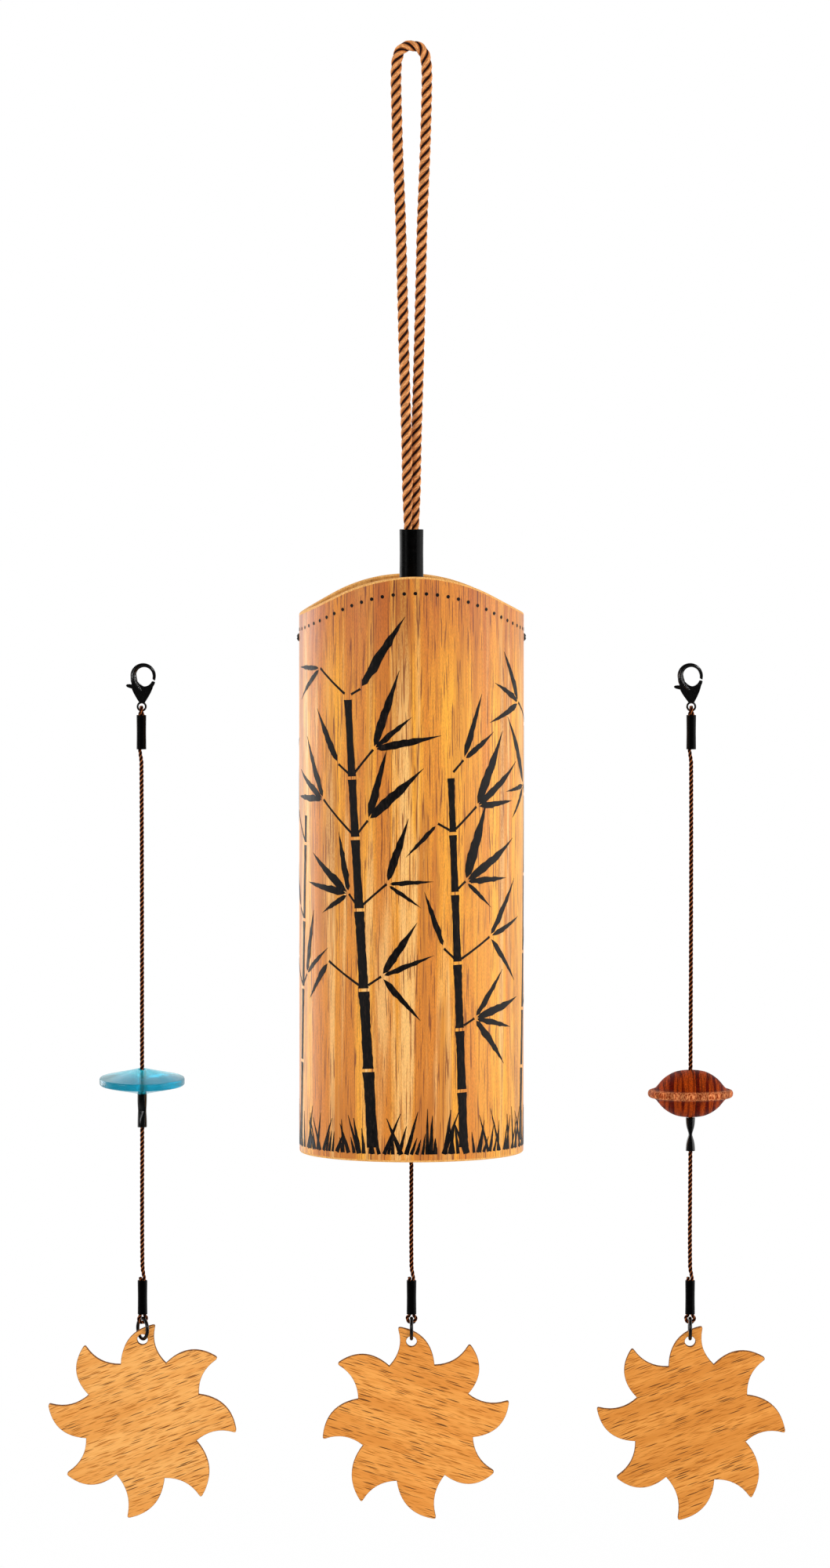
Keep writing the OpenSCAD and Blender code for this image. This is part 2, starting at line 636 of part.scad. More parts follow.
// The sun seen from the front, with its first ray about +X
function ray_tip(i) = polar(ray_tip_r + ray_tip_off[i], i * 360 / ray_count + ray_tip_turn[i]);
function ray_valley(i) = polar(ray_valley_r + ray_valley_off[i], i * 360 / ray_count - ray_valley_back[i]);
function sun_ray(i) = let (
    tip = ray_tip(i), valley = ray_valley(i), next = ray_valley((i + 1) % ray_count),
    up = bowed(valley, tip, ray_hollow_bow, ray_steps, 0, 1 - ray_tip_blunt / norm(tip - valley)),
    cut_off = ray_tip_blunt / norm(next - tip),
    down = bowed(tip, next, -ray_round_bow, ray_steps + 4, cut_off, 1 - 1 / (ray_steps + 4))
) concat(up, blunt(up[ray_steps], tip, down[0], 3), down);
module sun_outline() {
    polygon([for (i = [0:ray_count - 1]) each sun_ray(i)]);
}
module sail(s) {
    color("wheat") at_hook(s) translate([0, 0, sail_hole_z(string_ring_turn[s])]) front_plate(sail_t)
        rotate(string_sail_hang[s]) mirror([string_sail_mirror[s] ? 1 : 0, 0]) difference() {
            translate([0, -sail_hole_r]) rotate(90 - sail_hole_turn) sun_outline();
            circle(d = sail_hole_d);
        }
}

hanging_rope();
hanger_sleeve();
hanger_ring();
bamboo_tube();
base_plate();
double_eye();
side_screws();
for (i = [1:rod_count]) {
    chime_rod(i);
}
for (s = [0:2]) {
    name = string_names[s];
    clasp_frame(s);
    clasp_lever(s);
    clasp_pin(s);
    upper_cord(s);
    upper_sleeve(s);
    striker(s);
    stopper(s);
    lower_cord(s);
    lower_sleeve(s);
    ring(s);
    sail(s);
}
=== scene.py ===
import math
import random

import bmesh
import bpy
import numpy as np
from mathutils import Matrix, Vector


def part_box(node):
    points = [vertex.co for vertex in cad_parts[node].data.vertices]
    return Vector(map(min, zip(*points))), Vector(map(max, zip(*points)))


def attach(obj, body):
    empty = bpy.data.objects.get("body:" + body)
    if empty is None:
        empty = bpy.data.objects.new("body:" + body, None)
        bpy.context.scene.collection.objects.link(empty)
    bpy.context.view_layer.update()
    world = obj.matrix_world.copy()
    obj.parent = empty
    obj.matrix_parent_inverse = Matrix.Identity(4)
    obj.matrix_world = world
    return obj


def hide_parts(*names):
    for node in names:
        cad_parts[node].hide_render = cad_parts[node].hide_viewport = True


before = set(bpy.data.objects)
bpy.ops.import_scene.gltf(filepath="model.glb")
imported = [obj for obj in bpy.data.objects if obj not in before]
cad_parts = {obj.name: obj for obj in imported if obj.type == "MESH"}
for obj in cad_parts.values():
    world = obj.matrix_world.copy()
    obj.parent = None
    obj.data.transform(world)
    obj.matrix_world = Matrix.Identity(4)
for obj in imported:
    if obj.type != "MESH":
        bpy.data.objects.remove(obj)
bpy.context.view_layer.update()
mm = 0.001
strings = ("inner", "blue", "wood")  # the hung string, then the spares at left and right
print("frame loaded,", len(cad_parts), "solids")


# node trees: short calls for the nodes that are used throughout

class Nodes:
    def __init__(self, tree):
        self.tree = tree

    def put(self, node, key, value):
        socket = node.inputs[key]
        if isinstance(value, bpy.types.NodeSocket):
            self.tree.links.new(value, socket)
        elif socket.type == "RGBA":
            socket.default_value = (*value, 1.0)
        else:
            socket.default_value = value

    def add(self, kind, sockets=None, **settings):
        made = self.tree.nodes.new(kind)
        for key, value in settings.items():
            setattr(made, key, value)
        for key, value in (sockets or {}).items():
            self.put(made, key, value)
        return made

    def out(self, kind, sockets=None, which=0, **settings):
        return self.add(kind, sockets, **settings).outputs[which]

    def sums(self, operation, first, second=0.0):
        return self.out("ShaderNodeMath", {0: first, 1: second}, operation=operation)

    def level(self, share, first, second):
        return self.out("ShaderNodeMix", {0: share, 2: first, 3: second})

    def mix(self, share, under, over, way="MIX"):
        return self.out("ShaderNodeMix", {0: share, 6: under, 7: over}, 2, data_type="RGBA", blend_type=way)

    def between(self, value, low, high, first=0.0, last=1.0):
        ends = {"Value": value, "From Min": low, "From Max": high, "To Min": first, "To Max": last}
        return self.out("ShaderNodeMapRange", ends, interpolation_type="SMOOTHSTEP")

    def where(self):
        return self.out("ShaderNodeTexCoord", which="Object")

    def away(self):                # distance from the upright axis
        flat = self.out("ShaderNodeVectorMath", {0: self.where(), 1: (1, 1, 0)}, operation="MULTIPLY")
        return self.out("ShaderNodeVectorMath", {0: flat}, "Value", operation="LENGTH")

    def grain(self, size, turn=(0, 0, 0), place=(0, 0, 0)):    # size of the grain in mm
        sockets = {"Vector": self.where(), "Location": place, "Rotation": turn,
                   "Scale": [v * mm for v in size]}
        return self.out("ShaderNodeMapping", sockets, vector_type="TEXTURE")

    def height(self, place=(0, 0, 0)):
        metres = self.grain((1000, 1000, 1000), place=place)
        return self.out("ShaderNodeSeparateXYZ", {0: metres}, "Z")

    def clouds(self, where, detail=2.0, rough=0.5, bend=0.0):
        sockets = {"Vector": where, "Scale": 1.0, "Detail": detail, "Roughness": rough, "Distortion": bend}
        return self.out("ShaderNodeTexNoise", sockets, "Fac")

    def noise(self, size, turn=(0, 0, 0), place=(0, 0, 0), **more):
        return self.clouds(self.grain(size, turn, place), **more)


class Finish(Nodes):
    def __init__(self, name, **sockets):
        self.material = bpy.data.materials.new(name)
        self.material.use_nodes = True
        super().__init__(self.material.node_tree)
        self.shader = self.tree.nodes["Principled BSDF"]
        self.feed(**sockets)

    def feed(self, **sockets):
        for key, value in sockets.items():
            self.put(self.shader, key.replace("_", " "), value)

    def end(self, socket, value):
        self.put(self.tree.nodes["Material Output"], socket, value)

    def patterns(self, table, **at):
        return {key: self.noise(**{**at, **row}) for key, row in table.items()}

    def over(self, under, colour, pattern, low, high, last=1.0, first=0.0):
        return self.mix(self.between(pattern, low, high, first, last), under, colour)

    def layers(self, body, seen, rows):    # each row: pattern, where it begins and is full, share, colour
        for key, low, high, share, colour in rows:
            body = self.over(body, colour, seen[key], low, high, share)
        return body

    def shade(self, body, pattern, low, high, darkest, lightest):
        return self.mix(1.0, body, self.between(pattern, low, high, darkest, lightest), "MULTIPLY")

    def sheen(self, pattern, low, high):
        return self.between(pattern, 0.3, 0.7, low, high)

    def done(self, body, relief, depth, strength, **sockets):
        bump = self.out("ShaderNodeBump", {"Height": relief, "Distance": depth * mm, "Strength": strength})
        self.feed(Base_Color=body, Normal=bump, **sockets)
        return self.material


def layeredFinish(name, p):
    f = Finish(name, **p["shader"])
    seen = f.patterns(p["grain"])
    body = f.layers(p["base"], seen, p["layers"])
    main = seen[p["main"]]         # the pattern that is felt as well as seen
    if "roughness" in p:
        f.feed(Roughness=f.sheen(main, *p["roughness"]))
    return f.done(body, main, *p["relief"])


def blackFinish(name, roughness, dust, level=0.4, size=0.6):
    look = {
        "shader": dict(Specular_IOR_Level=level),
        "grain": {"worn": dict(size=(size, size, size), detail=4, rough=0.6)},
        "base": (0.0006, 0.0005, 0.0006),
        "layers": [("worn", 0.45, 0.75, 1.0, (dust, dust, dust))],
        "main": "worn", "roughness": (roughness * 0.8, roughness * 1.25), "relief": (0.02, 0.35),
    }
    return layeredFinish(name, look)


# small helpers for meshes

def addObject(name, data):
    made = bpy.data.objects.new(name, data)
    bpy.context.scene.collection.objects.link(made)
    return made


def addPiece(name, verts, faces, materials, slots=None, sharp=35):
    mesh = bpy.data.meshes.new(name)
    mesh.from_pydata([tuple(map(float, v)) for v in verts], [], [tuple(f) for f in faces])
    for material in materials:
        mesh.materials.append(material)
    if slots is not None:
        mesh.polygons.foreach_set("material_index", slots)
    return showMesh(name, mesh, sharp)


def showMesh(name, mesh, sharp=35):
    shape = bmesh.new()
    shape.from_mesh(mesh)
    bmesh.ops.recalc_face_normals(shape, faces=shape.faces)
    shape.to_mesh(mesh)
    shape.free()
    mesh.polygons.foreach_set("use_smooth", [True] * len(mesh.polygons))
    mesh.set_sharp_from_angle(angle=math.radians(sharp))
    mesh.update()
    return addObject(name, mesh)


def dress(piece, body, node):
    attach(piece, body)
    if node:
        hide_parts(node)


def mergedCopy(node, name):
    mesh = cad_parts[node].data.copy()
    mesh.name = name
    mesh.materials.clear()
    shape = bmesh.new()
    shape.from_mesh(mesh)
    bmesh.ops.remove_doubles(shape, verts=shape.verts, dist=2e-6)
    bmesh.ops.dissolve_limit(shape, angle_limit=math.radians(0.5), verts=shape.verts, edges=shape.edges)
    shape.to_mesh(mesh)
    shape.free()
    return mesh


def modify(holder, kind, **settings):
    made = holder.modifiers.new(kind.lower(), kind)
    for key, value in settings.items():
        setattr(made, key, value)
    return made


def bake(holder):
    graph = bpy.context.evaluated_depsgraph_get()
    mesh = bpy.data.meshes.new_from_object(holder.evaluated_get(graph), depsgraph=graph)
    holder.modifiers.clear()
    bpy.data.objects.remove(holder)
    return mesh


def turns(count):
    return [2 * math.pi * k / count for k in range(count)]


def gridFaces(rows, sides, start=0, closed=False):
    faces = []
    for i in range(rows if closed else rows - 1):
        low = start + i * sides
        high = start + (i + 1) % rows * sides
        for k in range(sides):
            n = (k + 1) % sides
            faces.append((low + k, low + n, high + n, high + k))
    return faces


def latheRings(line, sides):
    verts = [(r * math.cos(a), r * math.sin(a), z) for r, z in line for a in turns(sides)]
    return np.array(verts), gridFaces(len(line), sides, closed=True)


def rounded(corners, steps=5):
    line = []
    for i, (r, z, bend) in enumerate(corners):
        at = Vector((r, z))
        if bend == 0:
            line.append(at)
            continue
        back = (Vector(corners[i - 1][:2]) - at).normalized()
        ahead = (Vector(corners[(i + 1) % len(corners)][:2]) - at).normalized()
        half = back.angle(ahead) / 2
        middle = at + (back + ahead).normalized() * (bend / math.sin(half))
        first = at + back * (bend / math.tan(half)) - middle
        last = at + ahead * (bend / math.tan(half)) - middle
        sweep = first.angle(last)
        for k in range(steps + 1):
            t = k / steps
            line.append(middle + (first * math.sin((1 - t) * sweep) + last * math.sin(t * sweep))
                        / math.sin(sweep))
    return line


def placed(verts, move=(0, 0, 0), turn=None):
    verts = np.asarray(verts, float)
    if turn is not None:
        verts = verts @ np.array(turn.to_3x3()).T
    return verts + np.array(move)


def turned(degrees, axis="Z"):
    return Matrix.Rotation(math.radians(degrees), 4, axis)


def clamped(share):
    return min(max(share, 0), 1)


def boxMiddle(node):
    low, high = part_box(node)
    return (low + high) / 2


def nodeTop(node):
    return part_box(node)[1].z


# where each string hangs, and the height of its clasp's hook
hookTop = 1.1 * mm
hookZ = nodeTop("wood_clasp_frame") - hookTop
stringX = {s: sum(corner.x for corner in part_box(s + "_upper_sleeve")) / 2 for s in strings}

# camera at the photo's height, distance and framing

photoView = {
    "pixel": 0.2203 * mm,          # at the tube's axis
    "size": (1059, 2000),
    "origin": (525, 70.6),         # pixel of the top of the rope's opening
    "away": 1.85,
    "eyeZ": -0.116,
    "sensor": 36,
}


def addCamera(p):
    aimX = (p["size"][0] / 2 - p["origin"][0]) * p["pixel"]
    aimZ = (p["origin"][1] - p["size"][1] / 2) * p["pixel"]
    drop = math.atan2(p["eyeZ"] - aimZ, p["away"])
    half = p["size"][1] / 2 * p["pixel"] * math.cos(drop)
    lens = bpy.data.cameras.new("photoCamera")
    lens.sensor_fit = "VERTICAL"
    lens.sensor_height = p["sensor"]
    lens.lens = p["sensor"] / 2 * (p["away"] / math.cos(drop)) / half
    lens.clip_start = 0.01
    camera = addObject("photoCamera", lens)
    camera.location = (aimX, -p["away"], p["eyeZ"])
    camera.rotation_euler = (math.pi / 2 - drop, 0, 0)
    bpy.context.scene.camera = camera


addCamera(photoView)

# white studio: a bright sweep behind, a dimmer room in front, soft lamps, a pale floor

studio = {
    "sky": 0.78,                   # light that the surroundings give
    "room": 0.05,                  # how bright the room in front looks in reflections
    "sweep": (-0.25, 0.45),        # where, from front to back, the room turns into the white sweep
    "lintel": (0.45, 0.75),        # and where, going up, the sweep ends
    "ceiling": 0.35,
    "floorZ": -0.52, "floorHalf": 12,
    "floorTones": ((0.86, 0.86, 0.86), (0.9, 0.9, 0.9)), "floorGrain": (20, 20, 20),
    "floorWhite": 0.90,            # share of the floor under the object that shows as plain white
    "floorFade": (0.35, 1.0),      # distances over which the rest goes white as well
    "lampAim": (0, 0, -0.22),
    "lamps": {                     # place, width and height, watts
        "keyLamp": ((0.85, -1.8, 0.5), (0.25, 0.45), 5.5),
        "fillLamp": ((-1.7, -1.1, 0.2), (0.8, 0.8), 8),
        "leftBox": ((-1.25, 1.0, -0.15), (0.9, 1.5), 11),
        "rightBox": ((1.5, -0.2, -0.15), (1.6, 1.5), 16),
        "backBox": ((-0.5, 1.4, 0.85), (1.2, 0.8), 2.5),
    },
}


def seenWhite(n, where, p):
    ray = n.add("ShaderNodeLightPath").outputs
    clear = n.sums("MAXIMUM", ray["Is Camera Ray"], ray["Is Transmission Ray"])
    way = n.add("ShaderNodeSeparateXYZ", {0: where}).outputs
    upper = n.between(way["Z"], *p["lintel"], 1.0, p["ceiling"])
    sweep = n.sums("MULTIPLY", n.between(way["Y"], *p["sweep"], p["room"], 1.0), upper)
    mirrored = n.level(ray["Is Glossy Ray"], p["sky"], sweep)
    return n.sums("MAXIMUM", clear, ray["Is Glossy Ray"]), n.level(clear, mirrored, 1.0)


def addSky(p):
    world = bpy.data.worlds.new("studioSky")
    bpy.context.scene.world = world
    world.use_nodes = True
    n = Nodes(world.node_tree)
    _, glow = seenWhite(n, n.out("ShaderNodeTexCoord", which="Generated"), p)
    sky = n.tree.nodes["Background"]
    n.put(sky, "Color", (1, 1, 1))
    n.put(sky, "Strength", glow)


def addLamps(p):
    for name, (at, size, watts) in p["lamps"].items():
        lamp = bpy.data.lights.new(name, "AREA")
        lamp.shape = "RECTANGLE"
        lamp.size, lamp.size_y = size
        lamp.energy = watts
        holder = addObject(name, lamp)
        holder.location = at
        holder.rotation_euler = (Vector(p["lampAim"]) - Vector(at)).to_track_quat("-Z", "Y").to_euler()


def layFloor(p):
    f = Finish("paleFloor", Roughness=0.9)
    f.feed(Base_Color=f.mix(f.noise(p["floorGrain"]), *p["floorTones"]))
    seen, glow = seenWhite(f, f.where(), p)
    white = f.out("ShaderNodeEmission", {"Color": (1, 1, 1), "Strength": glow})
    share = f.sums("MULTIPLY", seen, f.between(f.away(), *p["floorFade"], p["floorWhite"], 1.0))
    f.end("Surface", f.out("ShaderNodeMixShader", {0: share, 1: f.shader.outputs[0], 2: white}))
    wide, z = p["floorHalf"], p["floorZ"]
    corners = [(-wide, -wide, z), (wide, -wide, z), (wide, wide, z), (-wide, wide, z)]
    addPiece("studioFloor", corners, [(0, 1, 2, 3)], [f.material])


bpy.context.scene.view_settings.view_transform = "Standard"
addSky(studio)
addLamps(studio)
layFloor(studio)
print("camera and studio set")

# laid cord: three strands twisted round a smooth line

ropeLook = {
    "strands": 3, "lay": 8.9 * mm, "step": 0.42 * mm, "arcPoints": 18, "offset": 0.33,
    "yarns": 8, "yarnLay": 6.0 * mm, "yarnDepth": 0.03,
    # colour by depth: the darker flank and the near-black gap are painted shade in the grooves between
    # strands
    "crest": (0.85, 0.385, 0.140), "flank": (0.52, 0.155, 0.032), "gap": (0.016, 0.002, 0.001),
    "crestBand": (0.0, 0.12), "gapShadeBand": (0.10, 0.18),
    "yarnTones": (0.36, 0.64, 0.58, 1.15), "relief": (0.10, 0.7),
    "shader": dict(Roughness=0.7, Specular_IOR_Level=0.15),
    "across": 7.0, "along": 1 / (1.0 * mm),
}
stringLook = {
    "strands": 3, "lay": 3.95 * mm, "step": 0.27 * mm, "arcPoints": 10, "offset": 0.46,
    "yarns": 5, "yarnLay": 2.0 * mm, "yarnDepth": 0.03,
    # colour by depth: the light crest is a painted highlight, the near-black gap painted shade in the
    # grooves between strands
    "crest": (0.62, 0.185, 0.045), "flank": (0.060, 0.007, 0.001), "gap": (0.004, 0.001, 0.001),
    "crestBand": (0.0, 0.10), "gapShadeBand": (0.08, 0.22),
    "yarnTones": (0.36, 0.64, 0.4, 1.15), "relief": (0.10, 0.7),
    "shader": dict(Roughness=0.65, Specular_IOR_Level=0.04),
    "across": 5.0, "along": 1 / (0.9 * mm),
}
strandArc = 118                    # degrees of a strand that are modelled, each way from its crest
strandStride = 1.37                # how far apart the strands lie on the yarn map
tipShape = {"bulge": 0.25, "hollow": 0.4}


def cordFinish(name, p):
    f = Finish(name, **p["shader"])
    uv = f.out("ShaderNodeUVMap", uv_map="yarnMap")
    fibre = f.out("ShaderNodeMapping", {"Vector": uv, "Scale": (p["across"], p["along"], 1)})
    fine = f.clouds(fibre, detail=3, rough=0.6, bend=0.3)
    sunk = f.out("ShaderNodeAttribute", which="Fac", attribute_name="hollow")
    # colour by depth into the cord is painted light and shade: light crests, darker flanks, near-black gaps
    # in the grooves
    body = f.over(p["crest"], p["flank"], sunk, *p["crestBand"])
    body = f.shade(body, fine, *p["yarnTones"])
    body = f.over(body, p["gap"], sunk, *p["gapShadeBand"])
    return f.done(body, fine, *p["relief"])


def runOf(line):
    return np.concatenate([[0], np.cumsum(np.linalg.norm(np.diff(line, axis=0), axis=1))])


def evenRoute(points, step):
    at = np.array(points, float)
    t = runOf(at)
    lean = np.empty_like(at)
    lean[1:-1] = (at[2:] - at[:-2]) / (t[2:] - t[:-2])[:, None]
    lean[0] = (at[1] - at[0]) / (t[1] - t[0])
    lean[-1] = (at[-1] - at[-2]) / (t[-1] - t[-2])
    fine = [at[:1]]
    for i in range(len(at) - 1):
        gap = t[i + 1] - t[i]
        u = np.linspace(0, 1, max(3, int(gap / step * 3)))[1:, None]
        fine.append((2 * u**3 - 3 * u**2 + 1) * at[i] + (u**3 - 2 * u**2 + u) * gap * lean[i]
                    + (3 * u**2 - 2 * u**3) * at[i + 1] + (u**3 - u**2) * gap * lean[i + 1])
    line = np.vstack(fine)
    run = runOf(line)
    even = np.linspace(0, run[-1], int(run[-1] / step) + 1)
    return np.column_stack([np.interp(even, run, line[:, k]) for k in range(3)]), even


def headings(line):
    ahead = np.gradient(line, axis=0)
    return ahead / np.linalg.norm(ahead, axis=1)[:, None]


def sideways(ahead):
    start = np.cross(ahead[0], (1, 0, 0) if abs(ahead[0][0]) < 0.8 else (0, 1, 0))
    right = [start / np.linalg.norm(start)]
    for way in ahead[1:]:
        side = right[-1] - way * np.dot(right[-1], way)
        right.append(side / np.linalg.norm(side))
    right = np.array(right)
    return right, np.cross(ahead, right)


def mapCord(mesh, sunk, uv):
    hollow = mesh.attributes.new("hollow", "FLOAT", "POINT")
    hollow.data.foreach_set("value", sunk)
    corner = np.empty(len(mesh.loops), int)
    mesh.loops.foreach_get("vertex_index", corner)
    layer = mesh.uv_layers.new(name="yarnMap")
    layer.data.foreach_set("uv", uv[corner].ravel())


def layCord(name, route, thick, p, material):
    line, run = evenRoute(route, p["step"])
    ahead = headings(line)
    right, up = sideways(ahead)
    half = np.array([thick(at) for at in line]) / 2
    strands, dots = p["strands"], p["arcPoints"]
    ring = strands * dots
    verts = np.empty((len(line), ring, 3))
    sunk = np.empty((len(line), ring))
    uv = np.empty((len(line), ring, 2))
    for k in range(strands):
        turn = 2 * math.pi * (k / strands + run / p["lay"])
        out = right * np.cos(turn)[:, None] + up * np.sin(turn)[:, None]
        over = up * np.cos(turn)[:, None] - right * np.sin(turn)[:, None]
        for d, a in enumerate(np.radians(np.linspace(-strandArc, strandArc, dots))):
            ripple = 1 + p["yarnDepth"] * np.cos(p["yarns"] * a + 2 * math.pi * run / p["yarnLay"])
            reach = half * (1 - p["offset"] - p["yarnDepth"]) * ripple
            across = half * p["offset"] + reach * math.cos(a)
            beside = reach * math.sin(a)
            q = k * dots + d
            verts[:, q] = line + out * across[:, None] + over * beside[:, None]
            sunk[:, q] = 1 - np.hypot(across, beside) / half
            uv[:, q, 0] = k * strandStride + d / (dots - 1)
            uv[:, q, 1] = run
    faces = gridFaces(len(line), ring)
    low, high = len(line) * ring, len(line) * ring + 1     # the two tips
    last = (len(line) - 1) * ring
    for d in range(ring):
        n = (d + 1) % ring
        faces += [(n, d, low), (last + d, last + n, high)]
    bulge = ahead * half[:, None] * tipShape["bulge"]
    tips = np.array([line[0] - bulge[0], line[-1] + bulge[-1]])
    cord = addPiece(name, np.vstack([verts.reshape(-1, 3), tips]), faces, [material], sharp=80)
    mapCord(cord.data, np.concatenate([sunk.ravel(), [tipShape["hollow"]] * 2]),
            np.vstack([uv.reshape(-1, 2), [[0.5, 0.0], [0.5, run[-1]]]]))
    return cord, line[::4].tolist() + [line[-1].tolist()], float(run[-1])


# hanging rope: one length, doubled to a loop, its bight round the ring

ropeRun = {
    "thick": 3.2 * mm, "squeezed": 2.5 * mm,
    "squeezeTop": -133.3, "fullAt": -120.0,
    "bight": [(-0.4, -1.25, -140.4), (0, -1.3, -144), (0, -1.4, -146.6), (0, -1.9, -148.2), (0, -2, -149.4),
              (0, -1.5, -150.8), (0, 0, -151.3), (0, 1.5, -150.8), (0, 2, -149.4), (0, 1.9, -148.2),
              (0, 1.4, -146.6), (0, 1.3, -144)],
    "leg": [(0.6, 1.15, -139), (0.95, 0.95, -133), (1.1, 1.2, -125), (1.2, 1.25, -117), (1.4, 1.15, -107),
            (1.75, 0.9, -96), (2.1, 0.6, -84), (2.4, 0.3, -72), (2.7, 0.1, -60), (3, 0, -48), (3.4, 0, -38),
            (3.8, 0, -28), (4.1, 0, -18), (4.3, 0, -9), (4.2, 0, -4), (3.7, 0, -1), (2.7, 0, 0.7),
            (1.4, 0, 1.4)],
    "crown": (0, 0, 1.6),
}


def ropeThick(at):
    p = ropeRun
    rise = clamped((at[2] / mm - p["squeezeTop"]) / (p["fullAt"] - p["squeezeTop"]))
    return p["squeezed"] + (p["thick"] - p["squeezed"]) * rise * rise * (3 - 2 * rise)


def hangRope(p):
    down = [(-x, -y, z) for x, y, z in reversed(p["leg"])]
    route = np.array(p["bight"] + p["leg"] + [p["crown"]] + down) * mm
    cord, path, length = layCord("laidRope", route, ropeThick, ropeLook, cordFinish("ropeYarn", ropeLook))
    dress(cord, "hanger", "hanging_rope")
    print("rope laid, %.0f mm" % (length / mm))


hangRope(ropeRun)

# the strings: each is looped through the clasp's eye, held by its sleeve, and ends in the stopper;
# its tail runs from the stopper to a loop round the jump ring

stringRun = {                      # heights in mm from the hook
    "thick": 1.1 * mm, "fluffed": 1.27 * mm, "fluffIn": 3,
    "twin": 0.58, "legTurn": math.radians(50), "part": 4,
    "upperBend": 0.97, "upperTurn": 90, "loop": -12.25, "upperTop": -13.5, "upperLow": -23.1,
    "lowerBend": 1.17, "ringTop": -183.57, "lowerTop": -172.8, "lowerLow": -182.4,
    "stopperTop": {"inner": -120.1, "blue": -120.1, "wood": -126.8}, "inStopper": 3,
    "tailTop": {"inner": -129.5, "blue": -129.5, "wood": -136.2},
    "tailTurn": {"inner": 0, "blue": 30, "wood": 0},
}


def stringThick(at):
    p = stringRun
    drop = (at[2] - hookZ) / mm
    leave = clamped((p["upperLow"] - 1 - drop) / p["fluffIn"])
    arrive = clamped((drop - p["lowerTop"] - 1) / p["fluffIn"])
    return p["thick"] + (p["fluffed"] - p["thick"]) * leave * arrive


def loopPoints(radius, z, first):
    bend = [math.radians(first - 25 * k) for k in range(9)]
    return [(radius * math.cos(a), 0, z + radius * math.sin(a)) for a in bend]


def hangStrings(p):
    finish = cordFinish("stringYarn", stringLook)
    twin = p["twin"]
    side, over = twin * math.cos(p["legTurn"]), twin * math.sin(p["legTurn"])

    def hang(s, half, body, route, turn):
        home = np.array([stringX[s], 0, hookZ])
        route = placed(np.array(route) * mm, home, turned(turn))
        cord, path, length = layCord(s + half + "String", route, stringThick, stringLook, finish)
        dress(cord, s + body, s + "_" + half.lower() + "_cord")

    for s in strings:
        route = [(-side, -over, p["upperLow"] + 1), (-side, -over, p["upperTop"])]
        route += loopPoints(p["upperBend"], p["loop"], 190)
        route += [(side, over, p["upperTop"]), (side, over, p["upperLow"]),
                  (0, 0, p["upperLow"] - p["part"]), (0, 0, p["stopperTop"][s] - p["inStopper"])]
        hang(s, "Upper", "_string", route, p["upperTurn"])
        route = [(0, 0, p["tailTop"][s]), (0, 0, p["lowerTop"] + p["part"]), (twin, 0, p["lowerTop"]),
                 (twin, 0, p["lowerLow"])]
        route += loopPoints(p["lowerBend"], p["ringTop"], 10)
        route += [(-twin, 0, p["lowerLow"]), (-twin, 0, p["lowerTop"] + 0.9)]
        hang(s, "Lower", "_tail", route, p["tailTurn"][s])
    print("strings laid")


hangStrings(stringRun)

# bent veneer tube with its saddle rim

tubeShape = {
    "radius": 31.5 * mm, "wall": 2.5 * mm, "sides": 288, "edgeRound": 0.55 * mm,
    "rows": [0.02 + 0.011 * k for k in range(11)],
    "crown": 46 * mm, "crownHalf": 21.4 * mm, "turn": 2.0,
    "top": nodeTop("bamboo_tube"), "foot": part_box("bamboo_tube")[0].z,
}
veneerLook = {
    "grain": {
        "band": dict(size=(7, 7, 260), detail=3, rough=0.55, bend=0.4),
        "drift": dict(size=(4.5, 4.5, 150), detail=3, bend=0.5, place=(0.013, 0.021, 0)),
        "smoke": dict(size=(5, 5, 70), detail=3, bend=0.4, place=(0.03, 0.01, 0)),
        "mark": dict(size=(0.36, 0.36, 12), detail=1),
        "line": dict(size=(0.28, 0.28, 16), detail=3, rough=0.6, place=(0.004, 0.009, 0)),
        "speck": dict(size=(0.16, 0.16, 0.7)),
    },
    "shader": dict(Specular_IOR_Level=0.2, Coat_Weight=0.8, Coat_Roughness=0.5),
    "amber": (0.70, 0.215, 0.004),
    "glow": [("band", 0.38, 0.60, 1.0, (0.95, 0.400, 0.015)),
             ("drift", 0.53, 0.68, 0.8, (0.97, 0.560, 0.180))],
    "smoke": (0.40, 0.110, 0.004), "smokeBand": (0.50, 0.66), "smokeSpeck": (0.35, 0.65, 0.15, 0.8),
    "line": [("line", 0.50, 0.66, 0.75, (0.57, 0.165, 0.004))],
    "mark": (0.27, 0.060, 0.001), "markBand": (0.59, 0.66, 0, 0.9),
    "speckTones": (0.3, 0.7, 0.84, 1.10),
    # painted shade: the colour is multiplied darker towards the rim, for the shade over the tube's top
    "topShade": (0.76, 0.58, 0.20), "topShadeBand": (38 * mm, 6 * mm),   # how far below the rim it comes in
    "roughness": (0.35, 0.7, 0.42, 0.60), "relief": (0.05, 0.5),
}
plyLook = {
    "grain": {"fleck": dict(size=(0.35, 0.35, 0.4), detail=3)},
    "base": (0.66, 0.30, 0.070), "layers": [("fleck", 0.35, 0.65, 1.0, (0.88, 0.48, 0.15))],
    "shader": dict(Roughness=0.6, Specular_IOR_Level=0.15), "relief": (0.05, 0.6),
    "glue": (0.36, 0.12, 0.015), "glueShare": 0.4, "ply": 0.42 * mm, "seam": 0.10 * mm,
}
innerWallLook = {
    "grain": {"band": dict(size=(6, 6, 160), detail=3), "streak": dict(size=(0.8, 0.8, 30), detail=3)},
    "base": (0.56, 0.22, 0.04),
    "layers": [("band", 0.35, 0.65, 1.0, (0.74, 0.36, 0.09)),
               ("streak", 0.55, 0.7, 0.7, (0.28, 0.09, 0.015))],
    "shader": dict(Roughness=0.62, Specular_IOR_Level=0.15), "main": "streak", "relief": (0.08, 0.5),
}


